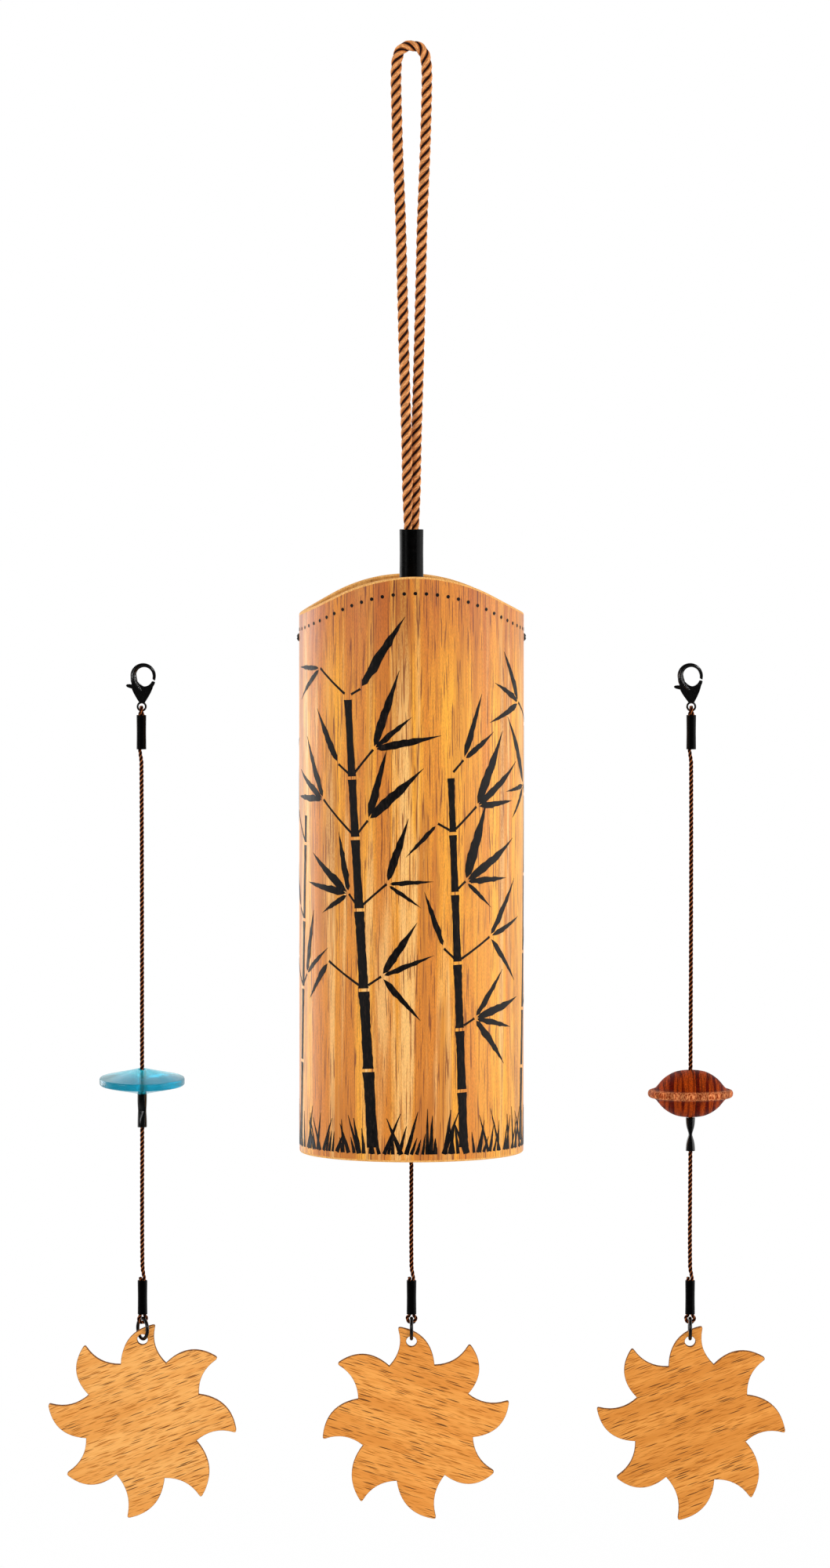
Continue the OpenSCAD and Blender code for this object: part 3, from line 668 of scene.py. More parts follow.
def veneerFinish(p):
    f = Finish("bentVeneer", **p["shader"])
    seen = f.patterns(p["grain"])
    body = f.layers(p["amber"], seen, p["glow"])
    haze = f.sums("MULTIPLY", f.between(seen["smoke"], *p["smokeBand"]),
                  f.between(seen["speck"], *p["smokeSpeck"]))
    body = f.mix(haze, body, p["smoke"])
    body = f.layers(body, seen, p["line"])
    spindle = f.between(seen["mark"], *p["markBand"])
    body = f.mix(spindle, body, p["mark"])
    body = f.shade(body, seen["speck"], *p["speckTones"])
    # painted shade: the veneer's colour darkens towards the rim
    topShaded = f.between(f.height(), *[tubeShape["top"] - below for below in p["topShadeBand"]])
    body = f.mix(topShaded, body, p["topShade"], "MULTIPLY")
    roughness = f.between(seen["line"], *p["roughness"])
    return f.done(body, f.sums("SUBTRACT", seen["line"], spindle), *p["relief"], Roughness=roughness)


def plyEdgeFinish(p):
    f = Finish("sandedPlyEdge", **p["shader"])
    seen = f.patterns(p["grain"])
    body = f.layers(p["base"], seen, p["layers"])
    seam = f.sums("PINGPONG", f.away(), p["ply"])
    body = f.over(body, p["glue"], seam, 0.0, p["seam"], 0.0, p["glueShare"])
    return f.done(body, seen["fleck"], *p["relief"])


def rimHeight(p, x):
    x = abs(x)
    if x < p["crownHalf"]:
        return p["top"] + math.sqrt(p["crown"] ** 2 - x * x) - p["crown"]
    level = math.sqrt(p["crown"] ** 2 - p["crownHalf"] ** 2)
    return p["top"] + level - p["crown"] - (x - p["crownHalf"]) * p["crownHalf"] / level


def bendTube(p):
    outer, inner, e = p["radius"], p["radius"] - p["wall"], p["edgeRound"]
    quarter = [math.radians(22.5 * k) for k in range(5)]
    rings = []                     # radius, and how far below the rim or over the foot
    rings += [(outer - e + e * math.sin(a), e - e * math.cos(a), "foot") for a in quarter]
    rings += [(outer, up, "foot") for up in p["rows"]]
    rings += [(outer - e + e * math.cos(a), e - e * math.sin(a), "rim") for a in quarter]
    rings += [(inner + e - e * math.sin(a), e - e * math.cos(a), "rim") for a in quarter]
    rings += [(inner, up, "foot") for up in reversed(p["rows"])]
    rings += [(inner + e - e * math.cos(a), e - e * math.sin(a), "foot") for a in quarter]
    turn = math.radians(p["turn"])
    verts, slots = [], []
    for i, (r, off, which) in enumerate(rings):
        wall = {r, rings[(i + 1) % len(rings)][0]}
        slots += [0 if wall == {outer} else 2 if wall == {inner} else 1] * p["sides"]
        for a in turns(p["sides"]):
            z = rimHeight(p, r * math.cos(a)) - off if which == "rim" else p["foot"] + off
            verts.append((r * math.cos(a + turn), r * math.sin(a + turn), z))
    faces = gridFaces(len(rings), p["sides"], closed=True)
    finishes = [veneerFinish(veneerLook), plyEdgeFinish(plyLook),
                layeredFinish("innerVeneer", innerWallLook)]
    tube = addPiece("bentTube", verts, faces, finishes, slots, sharp=40)
    dress(tube, "resonator", "bamboo_tube")
    print("tube bent")


bendTube(tubeShape)

# block print of canes and leaf sprays, wrapped onto the tube by Geometry Nodes

leafPrint = {                      # sizes in mm, apart from the ink's
    "seed": 11, "ink": 0.05 * mm, "sunk": 0.02 * mm,
    "canes": [                     # foot and tip round the tube and up it, then width
        (-12, 4, -20, 132, 3.6), (14, 4, 10, 108, 3.0), (-44, 4, -39, 96, 2.4), (40, 4, 49, 122, 2.7),
        (66, 4, 70, 92, 2.2), (-68, 4, -73, 108, 2.4),
    ],
    "segment": (15, 23), "shortest": 5, "gap": 0.9, "taper": 0.35,
    "twig": (8, 14), "shortTwig": (3, 5), "twigWidth": 0.7, "twigLean": (40, 64),
    "leaf": (13, 23), "leafWidth": 0.12, "leafShares": (0.35, 0.5, 0.65, 0.8, 1.0), "clear": 1.7,
    "fan": 34, "fanStart": -26, "fanStray": 6,
    "lowest": 2.0, "belowRim": 7, "half": 86,
    "grass": 120, "grassHalf": 80, "grassFoot": 2.2, "grassLean": 24, "grassTall": (4, 13),
    "grassWide": (0.9, 1.5), "grassStray": 0.6,
    "dotEvery": 3.0, "dotSize": 1.0, "dotsBelow": 4.6,
}
inkLook = {
    "grain": {"worn": dict(size=(0.5, 0.5, 1.6), detail=3)},
    "base": (0.003, 0.002, 0.002), "layers": [("worn", 0.45, 0.72, 1.0, (0.018, 0.010, 0.007))],
    "shader": dict(Specular_IOR_Level=0.2), "main": "worn", "roughness": (0.4, 0.62), "relief": (0.03, 0.5),
}
stampKinds = {"leaf": (0, 2), "cane": (3, 4), "twig": 3, "grass": 5, "dot": 6}


def stamp(name, halfWidth, sections, rng, ragged):
    verts, faces = [], []
    for level in (0, 1):
        for i in range(sections + 1):
            t = i / sections
            for side in (-1, 0, 1):
                wide = halfWidth(t) * (1 + ragged * rng.uniform(-1, 1)) if side else 0
                verts.append((t, side * wide, level))
    ring = 3 * (sections + 1)
    for i in range(sections):
        for c in (0, 1):
            a, b = 3 * i + c, 3 * i + c + 3
            faces.append((ring + a, ring + b, ring + b + 1, ring + a + 1))
            faces.append((a, a + 1, b + 1, b))
        faces.append((3 * i, 3 * i + 3, ring + 3 * i + 3, ring + 3 * i))
        faces.append((3 * i + 5, 3 * i + 2, ring + 3 * i + 2, ring + 3 * i + 5))
    end = 3 * sections
    for c in (0, 1):
        faces.append((c + 1, c, ring + c, ring + c + 1))
        faces.append((end + c, end + c + 1, ring + end + c + 1, ring + end + c))
    for i in range(sections + 1):  # both levels share one outline
        for side in (0, 2):
            x, y, _ = verts[3 * i + side]
            verts[ring + 3 * i + side] = (x, y, 1)
    mesh = bpy.data.meshes.new(name)
    mesh.from_pydata(verts, [], faces)
    return bpy.data.objects.new(name, mesh)


def stampShapes(rng):
    group = bpy.data.collections.new("printStamps")

    def leaf(t):
        return 0.5 * max(math.sin(math.pi * t ** 0.58) ** 0.95, 0.03)

    def cane(t):
        return 0.5 * (0.86 + 0.14 * abs(2 * t - 1) ** 3)

    def grass(t):
        return 0.5 * max(1 - t, 0.05) ** 0.7

    def dot(t):
        return max(math.sqrt(max(t - t * t, 0)), 0.12)

    # the order of the letters is the order of the numbers in stampKinds
    shapes = (("a", leaf, 14, 0.16), ("b", leaf, 16, 0.24), ("c", leaf, 12, 0.2), ("d", cane, 16, 0.06),
              ("e", cane, 20, 0.09), ("f", grass, 8, 0.2), ("g", dot, 8, 0.04))
    for name, shape, sections, ragged in shapes:
        group.objects.link(stamp("printStamp_" + name, shape, sections, rng, ragged))
    return group


def placeStamps(p, rng):
    spots = []                     # round, up, turn, length, width, stamp
    taken = []                     # round, up and reach of what is printed already

    def rimAt(s):
        across = tubeShape["radius"] * math.sin(s * mm / tubeShape["radius"])
        return (rimHeight(tubeShape, across) - tubeShape["foot"]) / mm

    def along(s, z, turn, length, shares=(1,)):
        return [(s + length * t * math.cos(turn), z + length * t * math.sin(turn)) for t in shares]

    def hold(line, reach):
        taken.extend((u, v, reach) for u, v in line)

    def press(s, z, turn, length, width, kind, shares, room):
        line = along(s, z, turn, length, shares)
        if any(not p["lowest"] < v < rimAt(u) - p["belowRim"] or abs(u) > p["half"] for u, v in line):
            return False
        if any(math.hypot(u - a, v - b) < room + reach for u, v in line for a, b, reach in taken):
            return False
        spots.append((s, z, turn, length, width, kind))
        hold(along(s, z, turn, length, (0.3, 0.45, 0.6, 0.75, 0.9)), width * 0.45)
        return True

    def spray(s, z, way, side):
        grown = 0
        for k in range(4):
            stray = rng.uniform(-p["fanStray"], p["fanStray"])
            lean = way - side * math.radians(p["fanStart"] + p["fan"] * k + stray)
            length = rng.uniform(*p["leaf"]) * (1 - 0.07 * k)
            width = length * p["leafWidth"] * rng.uniform(0.85, 1.2)
            foot = along(s, z, lean, 1.0)[0]
            kind = rng.randint(*stampKinds["leaf"])
            grown += press(*foot, lean, length, width, kind, p["leafShares"], p["clear"])
        return grown

    def growCane(s0, z0, s1, z1, width):
        joints = []
        lean = math.atan2(z1 - z0, s1 - s0)
        reach = math.hypot(s1 - s0, z1 - z0)
        at = 0.0
        while at < reach:
            length = min(rng.uniform(*p["segment"]), reach - at)
            thin = width * (1 - p["taper"] * at / reach)
            (s, z), top = along(s0, z0, lean, 1.0, (at, at + length))
            if length > p["shortest"]:
                kind = rng.randint(*stampKinds["cane"])
                spots.append((s, z, lean, length - p["gap"], thin, kind))
                hold(along(s, z, lean, length, [t / 12 for t in range(13)]), thin * 0.4)
            at += length
            joints.append((*top, thin))
        return joints[1:]

    def growTwig(s, z, thin, side, size):
        way = math.pi / 2 - side * math.radians(rng.uniform(*p["twigLean"]))
        length = rng.uniform(*size)
        foot = along(s, z, way, thin * 0.5)[0]
        marked, held = len(spots), len(taken)
        if press(*foot, way, length, p["twigWidth"], stampKinds["twig"], (0.7, 1.0), 1.0):
            tip = along(*foot, way, length)[0]
            if not spray(*tip, way, side):     # a twig that got no leaf is taken back
                del spots[marked:]
                del taken[held:]

    joints = []
    for cane in p["canes"]:
        joints += growCane(*cane)
    for n, joint in enumerate(joints):
        longSide = 1 if n % 2 else -1
        growTwig(*joint, longSide, p["twig"])
        growTwig(*joint, -longSide, p["shortTwig"])
    for k in range(p["grass"]):
        stray = rng.uniform(-p["grassStray"], p["grassStray"])
        s = p["grassHalf"] * (2 * k / (p["grass"] - 1) - 1) + stray
        lean = math.radians(90 + rng.uniform(-p["grassLean"], p["grassLean"]))
        tall = rng.uniform(*p["grassTall"])
        wide = rng.uniform(*p["grassWide"])
        spots.append((s, p["grassFoot"], lean, tall, wide, stampKinds["grass"]))
    count = int(2 * p["half"] / p["dotEvery"])
    for k in range(count):
        s = p["half"] * (2 * k / (count - 1) - 1)
        size = p["dotSize"]
        spots.append((s - size / 2, rimAt(s) - p["dotsBelow"], 0, size, size, stampKinds["dot"]))
    return spots


def printTree(group, material):
    tree = bpy.data.node_groups.new("wrapPrint", "GeometryNodeTree")
    sockets = (("Geometry", "INPUT", "Geometry"), ("tubeRadius", "INPUT", "Float"),
               ("tubeTurn", "INPUT", "Float"), ("sunk", "INPUT", "Float"),
               ("Geometry", "OUTPUT", "Geometry"))
    for name, way, kind in sockets:
        tree.interface.new_socket(name, in_out=way, socket_type="NodeSocket" + kind)
    n = Nodes(tree)
    start = n.add("NodeGroupInput").outputs
    stamps = n.out("GeometryNodeCollectionInfo", {"Collection": group, "Separate Children": True,
                                                  "Reset Children": True})
    kind = n.out("GeometryNodeInputNamedAttribute", {"Name": "stamp"}, data_type="INT")
    turn = n.out("GeometryNodeInputNamedAttribute", {"Name": "turn"}, data_type="FLOAT")
    size = n.out("GeometryNodeInputNamedAttribute", {"Name": "size"}, data_type="FLOAT_VECTOR")
    press = n.out("GeometryNodeInstanceOnPoints",
                  {"Points": start["Geometry"], "Instance": stamps, "Pick Instance": True,
                   "Instance Index": kind, "Scale": size,
                   "Rotation": n.out("ShaderNodeCombineXYZ", {"Z": turn})})
    real = n.out("GeometryNodeRealizeInstances", {"Geometry": press})
    fine = n.out("GeometryNodeSubdivideMesh", {"Mesh": real, "Level": 1})
    at = n.add("ShaderNodeSeparateXYZ", {0: n.out("GeometryNodeInputPosition")}).outputs
    around = n.sums("ADD", n.sums("DIVIDE", at["X"], start["tubeRadius"]), start["tubeTurn"])
    reach = n.sums("SUBTRACT", n.sums("ADD", start["tubeRadius"], at["Z"]), start["sunk"])
    x = n.sums("MULTIPLY", reach, n.sums("SINE", around))
    y = n.sums("MULTIPLY", reach, n.sums("COSINE", around))
    there = n.out("ShaderNodeCombineXYZ", {"X": x, "Y": n.sums("MULTIPLY", y, -1.0), "Z": at["Y"]})
    wrap = n.out("GeometryNodeSetPosition", {"Geometry": fine, "Position": there})
    ink = n.out("GeometryNodeSetMaterial", {"Geometry": wrap, "Material": material})
    n.add("NodeGroupOutput", {"Geometry": ink})
    return tree


def printTube(p):
    rng = random.Random(p["seed"])
    group = stampShapes(rng)
    spots = placeStamps(p, rng)
    mesh = bpy.data.meshes.new("printSpots")
    mesh.from_pydata([(s * mm, tubeShape["foot"] + z * mm, 0) for s, z, *_ in spots], [], [])
    mesh.attributes.new("turn", "FLOAT", "POINT").data.foreach_set("value", [q[2] for q in spots])
    mesh.attributes.new("stamp", "INT", "POINT").data.foreach_set("value", [q[5] for q in spots])
    size = [v for q in spots for v in (q[3] * mm, q[4] * mm, p["ink"] + p["sunk"])]
    mesh.attributes.new("size", "FLOAT_VECTOR", "POINT").data.foreach_set("vector", size)
    holder = addObject("printSpots", mesh)
    tree = printTree(group, layeredFinish("printInk", inkLook))
    wrap = modify(holder, "NODES", node_group=tree)
    given = {"tubeRadius": tubeShape["radius"], "tubeTurn": math.radians(tubeShape["turn"]),
             "sunk": p["sunk"]}
    for item in tree.interface.items_tree:
        if item.in_out == "INPUT" and item.name in given:
            wrap[item.identifier] = given[item.name]
    printed = bake(holder)
    dress(showMesh("leafPrint", printed), "resonator", None)
    print("tube printed,", len(spots), "stamps,", len(printed.polygons), "faces")


printTube(leafPrint)

# sun sails: laser-cut beech with toasted edges

sailLook = {
    "tilt": {"inner": 17, "blue": -20, "wood": -20},   # grain's slope, degrees, falling positive
    "shift": {"inner": (0, 0, 0), "blue": (0.02, 0.01, 0.005), "wood": (-0.03, 0.02, 0.01)},
    "pale": {"inner": (0.88, 0.375, 0.078), "blue": (0.89, 0.43, 0.115), "wood": (0.80, 0.325, 0.060)},
    "deep": {"inner": (0.74, 0.27, 0.042), "blue": (0.78, 0.32, 0.064), "wood": (0.66, 0.235, 0.032)},
    "fleck": (0.42, 0.120, 0.006), "dark": (0.055, 0.012, 0.001),
    "grain": {"wide": dict(size=(60, 8, 4), detail=3, bend=0.3),
              "line": dict(size=(5.5, 3, 0.30), detail=3, bend=0.3)},
    "wideBand": (0.35, 0.65, 1.0), "lineBand": (0.46, 0.64, 0.7),
    "thread": (4.2, 2, 0.34), "threadShift": 0.05, "threadBand": (0.16, 0.44, 0, 0.72),
    "dash": (7.6, 2, 0.46), "dashBand": (0.19, 0.33, 0.95, 0), "darkPick": (0.28, 0.58),
    "shader": dict(Specular_IOR_Level=0.2), "roughness": (0.5, 0.62), "relief": (0.05, 0.45),
    "bevel": 0.08 * mm, "bevelAngle": 50, "edgeTilt": 0.7,
}
toastLook = {
    "grain": {"burn": dict(size=(0.7, 3, 0.7), detail=3)},
    "base": (0.13, 0.042, 0.008), "layers": [("burn", 0.35, 0.68, 1.0, (0.34, 0.125, 0.025))],
    "shader": dict(Roughness=0.8, Specular_IOR_Level=0.05), "main": "burn", "relief": (0.06, 0.6),
}


def slippedCells(f, size, turn, place):    # rows of long cells, each row slid by its own amount
    at = f.add("ShaderNodeSeparateXYZ", {0: f.grain(size, turn, place)}).outputs
    row = f.sums("FLOOR", at["Z"])
    slip = f.out("ShaderNodeTexWhiteNoise", {"W": row}, "Value", noise_dimensions="1D")
    slid = f.out("ShaderNodeCombineXYZ", {"X": f.sums("ADD", at["X"], slip), "Y": at["Y"], "Z": at["Z"]})
    return f.add("ShaderNodeTexVoronoi", {"Vector": slid, "Scale": 1.0}).outputs


def beechFinish(s, p):
    f = Finish(s + "Beech", **p["shader"])
    turn = (0, math.radians(p["tilt"][s]), 0)
    at = p["shift"][s]
    seen = f.patterns(p["grain"], turn=turn, place=at)
    thread = slippedCells(f, p["thread"], turn, (at[0] + p["threadShift"], at[1], at[2]))["Distance"]
    dash = slippedCells(f, p["dash"], turn, at)
    pick = f.out("ShaderNodeSeparateColor", {0: dash["Color"]})
    deep = p["deep"][s]
    body = f.over(deep, p["pale"][s], seen["wide"], *p["wideBand"])
    body = f.over(body, deep, seen["line"], *p["lineBand"])
    body = f.over(body, p["fleck"], thread, *p["threadBand"])
    marks = f.between(dash["Distance"], *p["dashBand"])
    body = f.mix(marks, body, f.over(p["fleck"], p["dark"], pick, *p["darkPick"]))
    relief = f.sums("SUBTRACT", seen["line"], marks)
    return f.done(body, relief, *p["relief"], Roughness=f.sheen(seen["line"], *p["roughness"]))


def cutSails(p):
    edge = layeredFinish("toastedEdge", toastLook)
    for s in strings:
        mesh = mergedCopy(s + "_sail", s + "SunSail")
        mesh.materials.append(beechFinish(s, p))
        mesh.materials.append(edge)
        upright = [int(abs(f.normal.y) < p["edgeTilt"]) for f in mesh.polygons]
        mesh.polygons.foreach_set("material_index", upright)
        holder = addObject("sailBlank", mesh)
        modify(holder, "BEVEL", width=p["bevel"], segments=2, limit_method="ANGLE",
               angle_limit=math.radians(p["bevelAngle"]), material=1)
        dress(showMesh(s + "SunSail", bake(holder), 30), s + "_sail", s + "_sail")
    print("sails cut")


cutSails(sailLook)

# lobster clasps: cast hook with a ridge that runs down into the body, and the sprung lever

claspShape = {                     # in mm from the hook's inner top
    "voxel": 0.07, "smoothing": 8, "leverVoxel": 0.056, "leverSmoothing": 3,
    "slot": 0.62, "face": 1.2, "pin": (0.4, -7.1), "rivet": 0.55, "rivetProud": 0.02, "throatHalf": 0.75,
    "ridge": [                     # x, z, width, depth
        (2.80, -3.3, 0.80, 1.30), (2.80, -2.4, 0.86, 1.55), (2.0, -0.45, 1.0, 1.75), (0.0, 0.55, 1.08, 1.85),
        (-2.1, -0.15, 1.30, 1.95), (-3.0, -2.2, 1.45, 2.1), (-2.95, -3.6, 1.5, 2.2), (-2.75, -4.4, 1.5, 2.3),
    ],
    "ramp": [                      # x, z, width, and how far it stands from the middle, on both cheeks
        (-2.6, -0.9, 0.7, 0.78), (-2.95, -2.0, 1.45, 1.0), (-2.95, -3.0, 1.75, 1.14),
        (-2.75, -4.0, 1.9, 1.22), (-2.4, -5.0, 1.8, 1.23), (-1.9, -5.8, 1.3, 1.2),
    ],
    "crest": [                     # the same for the bright edge on top of it
        (-1.6, 0.15, 0.35, 0.98), (-2.6, -0.9, 0.6, 1.1), (-3.0, -2.1, 0.75, 1.2), (-2.9, -3.3, 0.85, 1.32),
        (-2.45, -4.4, 0.85, 1.4), (-1.75, -5.4, 0.75, 1.42), (-0.95, -6.2, 0.6, 1.4),
        (-0.35, -6.75, 0.35, 1.26),
    ],
    "throat": [                    # fills the foot of the hook's hole to a drop shape
        (-2.45, -2.7), (-2.2, -3.35), (-1.75, -4.1), (-1.05, -4.8), (-0.6, -5.1), (-2.3, -5.1), (-3.0, -4.6),
        (-2.9, -3.0),
    ],
    "throatFoot": [
        (-1.75, -4.1), (-1.05, -4.8), (-0.2, -5.3), (0.5, -5.45), (0.2, -6.2), (-2.0, -6.2), (-2.4, -4.6),
    ],
    "lean": {"inner": 0, "blue": 5, "wood": 0}, "pivot": -12.25,
}


def cast(parts, voxel, smoothing):
    verts, faces = [], []
    for points, polygons in parts:
        start = len(verts)
        verts += [tuple(map(float, v)) for v in points]
        faces += [tuple(i + start for i in f) for f in polygons]
    mesh = bpy.data.meshes.new("castBlank")
    mesh.from_pydata(verts, [], faces)
    holder = addObject("castBlank", mesh)
    modify(holder, "REMESH", mode="VOXEL", voxel_size=voxel)
    modify(holder, "SMOOTH", factor=0.5, iterations=smoothing)
    return bake(holder)


def plainPart(node, home):
    mesh = mergedCopy(node, "castPart")
    points = [(v.co - Vector(home)) / mm for v in mesh.vertices]
    return points, [tuple(f.vertices) for f in mesh.polygons]


def outward(verts, faces):
    shape = bmesh.new()
    for v in verts:
        shape.verts.new(v)
    shape.verts.ensure_lookup_table()
    for f in faces:
        shape.faces.new([shape.verts[i] for i in f])
    bmesh.ops.recalc_face_normals(shape, faces=shape.faces)
    shape.verts.index_update()
    points = [v.co.copy() for v in shape.verts]
    polygons = [tuple(v.index for v in f.verts) for f in shape.faces]
    shape.free()
    return points, polygons


def sweepFlat(stations, low=None, sides=16):
    at = np.array([(x, z) for x, z, _, _ in stations])
    line, run = evenRoute(np.column_stack([at[:, 0], np.zeros(len(at)), at[:, 1]]), 0.2)
    far = runOf(at)
    wide = np.interp(run / run[-1], far / far[-1], [q[2] for q in stations])
    deep = np.interp(run / run[-1], far / far[-1], [q[3] for q in stations])
    middle = np.zeros(len(line)) if low is None else (deep + low) / 2
    half = deep / 2 if low is None else (deep - low) / 2
    verts = []
    for i, way in enumerate(headings(line)):
        across = np.array([way[2], 0, -way[0]]) * wide[i] / 2
        for a in turns(sides):
            verts.append(line[i] + across * math.cos(a) + (0, middle[i] + half[i] * math.sin(a), 0))
    faces = gridFaces(len(line), sides)
    faces.append(tuple(reversed(range(sides))))
    faces.append(tuple(range((len(line) - 1) * sides, len(line) * sides)))
    return outward(verts, faces)


def plate(outline, low, high):
    count = len(outline)
    verts = [(x, y, z) for y in (low, high) for x, z in outline]
    faces = [tuple(range(count)), tuple(reversed(range(count, 2 * count)))]
    faces += [(k, k + count, (k + 1) % count + count, (k + 1) % count) for k in range(count)]
    return outward(verts, faces)


def otherSide(part):
    points, polygons = part
    return outward([(x, -y, z) for x, y, z in points], polygons)


def castHook(p, home):
    x, z = p["pin"]
    rivet = [(x + p["rivet"] * math.cos(a), z + p["rivet"] * math.sin(a)) for a in turns(24)]
    skins = [sweepFlat(p["ramp"], p["slot"]), sweepFlat(p["crest"], p["slot"]),
             plate(p["throatFoot"], p["slot"], p["face"]),
             plate(rivet, p["slot"], p["face"] + p["rivetProud"])]
    parts = [plainPart("wood_clasp_frame", home), sweepFlat(p["ridge"]),
             plate(p["throat"], -p["throatHalf"], p["throatHalf"])]
    parts += skins + [otherSide(part) for part in skins]
    return cast(parts, p["voxel"], p["smoothing"])


def castClasps(p):
    gloss = blackFinish("blackEnamel", 0.17, 0.002, level=0.7)
    home = (stringX["wood"], 0, hookZ)
    hook = castHook(p, home)
    lever = cast([plainPart("wood_clasp_lever", home)], p["leverVoxel"], p["leverSmoothing"])
    for s in strings:
        about = Matrix.Translation((0, 0, p["pivot"] * mm))
        lean = about @ turned(p["lean"][s], "Y") @ about.inverted()
        move = Matrix.Translation((stringX[s], 0, hookZ)) @ lean @ Matrix.Scale(mm, 4)
        for name, blank, body, node in (("ClaspFrame", hook, "_clasp", "_clasp_frame"),
                                        ("ClaspLever", lever, "_lever", "_clasp_lever")):
            mesh = blank.copy()
            mesh.transform(move)
            mesh.materials.clear()
            mesh.materials.append(gloss)
            dress(showMesh(s + name, mesh, 60), s + body, s + node)
        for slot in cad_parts[s + "_clasp_pin"].material_slots:
            slot.material = gloss
    print("clasps cast,", len(hook.polygons), "faces")


castClasps(claspShape)

# black sleeves over the rope and the doubled strings

sleeveShape = {                    # in mm
    "rope": {"wall": 0.5, "lip": 0.2, "sides": 72},
    "string": {"wall": 0.18, "lip": 0.08, "sides": 48},
    "waist": [(0.3, 0.03), (0.5, 0.05), (0.7, 0.03)],  # share of the height, and how far it draws in
    "collar": 0.4,
}


def shrinkSleeve(name, node, body, p, material):
    low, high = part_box(node)
    wide = (high.x - low.x) / 2 / mm
    tall = (high.z - low.z) / mm
    wall, lip, collar = p["wall"], p["lip"], sleeveShape["collar"]
    corners = [(wide - wall, 0, lip), (wide, 0, lip), (wide, collar, 0)]
    corners += [(wide - draw, tall * share, 0) for share, draw in sleeveShape["waist"]]
    corners += [(wide, tall - collar, 0), (wide, tall, lip), (wide - wall, tall, lip)]
    verts, faces = latheRings(rounded(corners, 4), p["sides"])
    middle = boxMiddle(node)
    verts = placed(verts * mm, (middle.x, middle.y, low.z))
    dress(addPiece(name, verts, faces, [material]), body, node)


def fitSleeves(p):
    satin = blackFinish("shrinkSleeve", 0.30, 0.001, level=0.06, size=1.2)
    shrinkSleeve("ropeSleeve", "hanger_sleeve", "hanger", p["rope"], satin)
    for s in strings:
        shrinkSleeve(s + "UpperSleeve", s + "_upper_sleeve", s + "_string", p["string"], satin)
        shrinkSleeve(s + "LowerSleeve", s + "_lower_sleeve", s + "_tail", p["string"], satin)
    print("sleeves fitted")


fitSleeves(sleeveShape)

# stoppers: short tubes crimped flat at the waist

stopperShape = {                   # in mm
    "radius": 1.35, "waist": 0.48, "tall": 9.4, "crimp": 8.8, "square": 0.35,
    "crimpFlat": 0.07, "crimpShare": 0.43, "crimpPower": 1.5,
    "lip": [(0, 0.94), (0.06, 0.985), (0.16, 1)], "lipTall": 0.3,      # height and share of the radius
    "turn": {"inner": 30, "blue": 55, "wood": 0}, "sides": 40, "rings": 44, "dish": 0.9, "mouth": 0.7,
}


def squared(value, power):
    return math.copysign(abs(value) ** power, value)


def crimpedTube(p):
    tall, n = p["tall"], p["sides"]
    body = tall - 2 * p["lipTall"]
    levels = p["lip"] + [(p["lipTall"] + body * k / p["rings"], 1) for k in range(p["rings"] + 1)]
    levels += [(tall - z, share) for z, share in reversed(p["lip"])]
    verts = []
    for z, share in levels:
        off = math.hypot((z - tall / 2) / (p["crimp"] / 2), p["crimpFlat"])
        pinch = math.exp(-(off / p["crimpShare"]) ** p["crimpPower"])
        thin = (p["radius"] + (p["waist"] - p["radius"]) * pinch) * share
        wide = p["radius"] * share
        power = 1 - p["square"] * pinch
        for a in turns(n):
            verts.append((thin * squared(math.cos(a), power), wide * squared(math.sin(a), power), z))
    faces = gridFaces(len(levels), n)
    for edge, dish in ((0, p["dish"]), ((len(levels) - 1) * n, tall - p["dish"])):
        inner = len(verts)
        for z in (verts[edge][2], dish):
            verts += [(p["mouth"] * math.cos(a), p["mouth"] * math.sin(a), z) for a in turns(n)]
        faces += [(edge + k, edge + (k + 1) % n, inner + (k + 1) % n, inner + k) for k in range(n)]
        faces += gridFaces(2, n, inner)
        faces.append(tuple(range(inner + n, inner + 2 * n)))
    return np.array(verts), faces


def crimpStoppers(p):
    gloss = blackFinish("crimpedTube", 0.2, 0.002, level=0.45)
    blank, faces = crimpedTube(p)
    for s in strings:
        node = s + "_stopper"
        verts = placed(blank * mm, (boxMiddle(node).x, 0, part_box(node)[0].z), turned(p["turn"][s]))
        dress(addPiece(s + "Stopper", verts, faces, [gloss], sharp=45), s + "_string", node)
    print("stoppers crimped")


crimpStoppers(stopperShape)

# jump rings: wire bent round, with a slit between its two cut ends

ringShape = {                      # in mm
    "radius": 2.9, "wire": 0.5, "slit": 0.4, "steps": 72, "sides": 16,
    "turn": {"inner": 90, "blue": 120, "wood": 90},    # the ring's plane, degrees about Z
    "cut": {"inner": 20, "blue": -35, "wood": 20},     # where the slit is on the ring
}


def bendRings(p):
    gloss = blackFinish("blackWire", 0.2, 0.002, level=0.45)
    gap = p["slit"] / p["radius"]
    rows, n = p["steps"] + 1, p["sides"]
    faces = gridFaces(rows, n) + [tuple(range(n)), tuple(range((rows - 1) * n, rows * n))]
    for s in strings:
        start = math.radians(p["cut"][s]) + gap / 2
        verts = []
        for i in range(rows):
            a = start + (2 * math.pi - gap) * i / p["steps"]
            for b in turns(n):
                r = p["radius"] + p["wire"] * math.cos(b)
                verts.append((r * math.cos(a), p["wire"] * math.sin(b), r * math.sin(a)))
        verts = placed(np.array(verts) * mm, boxMiddle(s + "_ring"), turned(p["turn"][s]))
        dress(addPiece(s + "JumpRing", verts, faces, [gloss]), s + "_ring", s + "_ring")
    print("jump rings bent")


bendRings(ringShape)

# strikers: lens-shaped acrylic discs and a turned hardwood bead

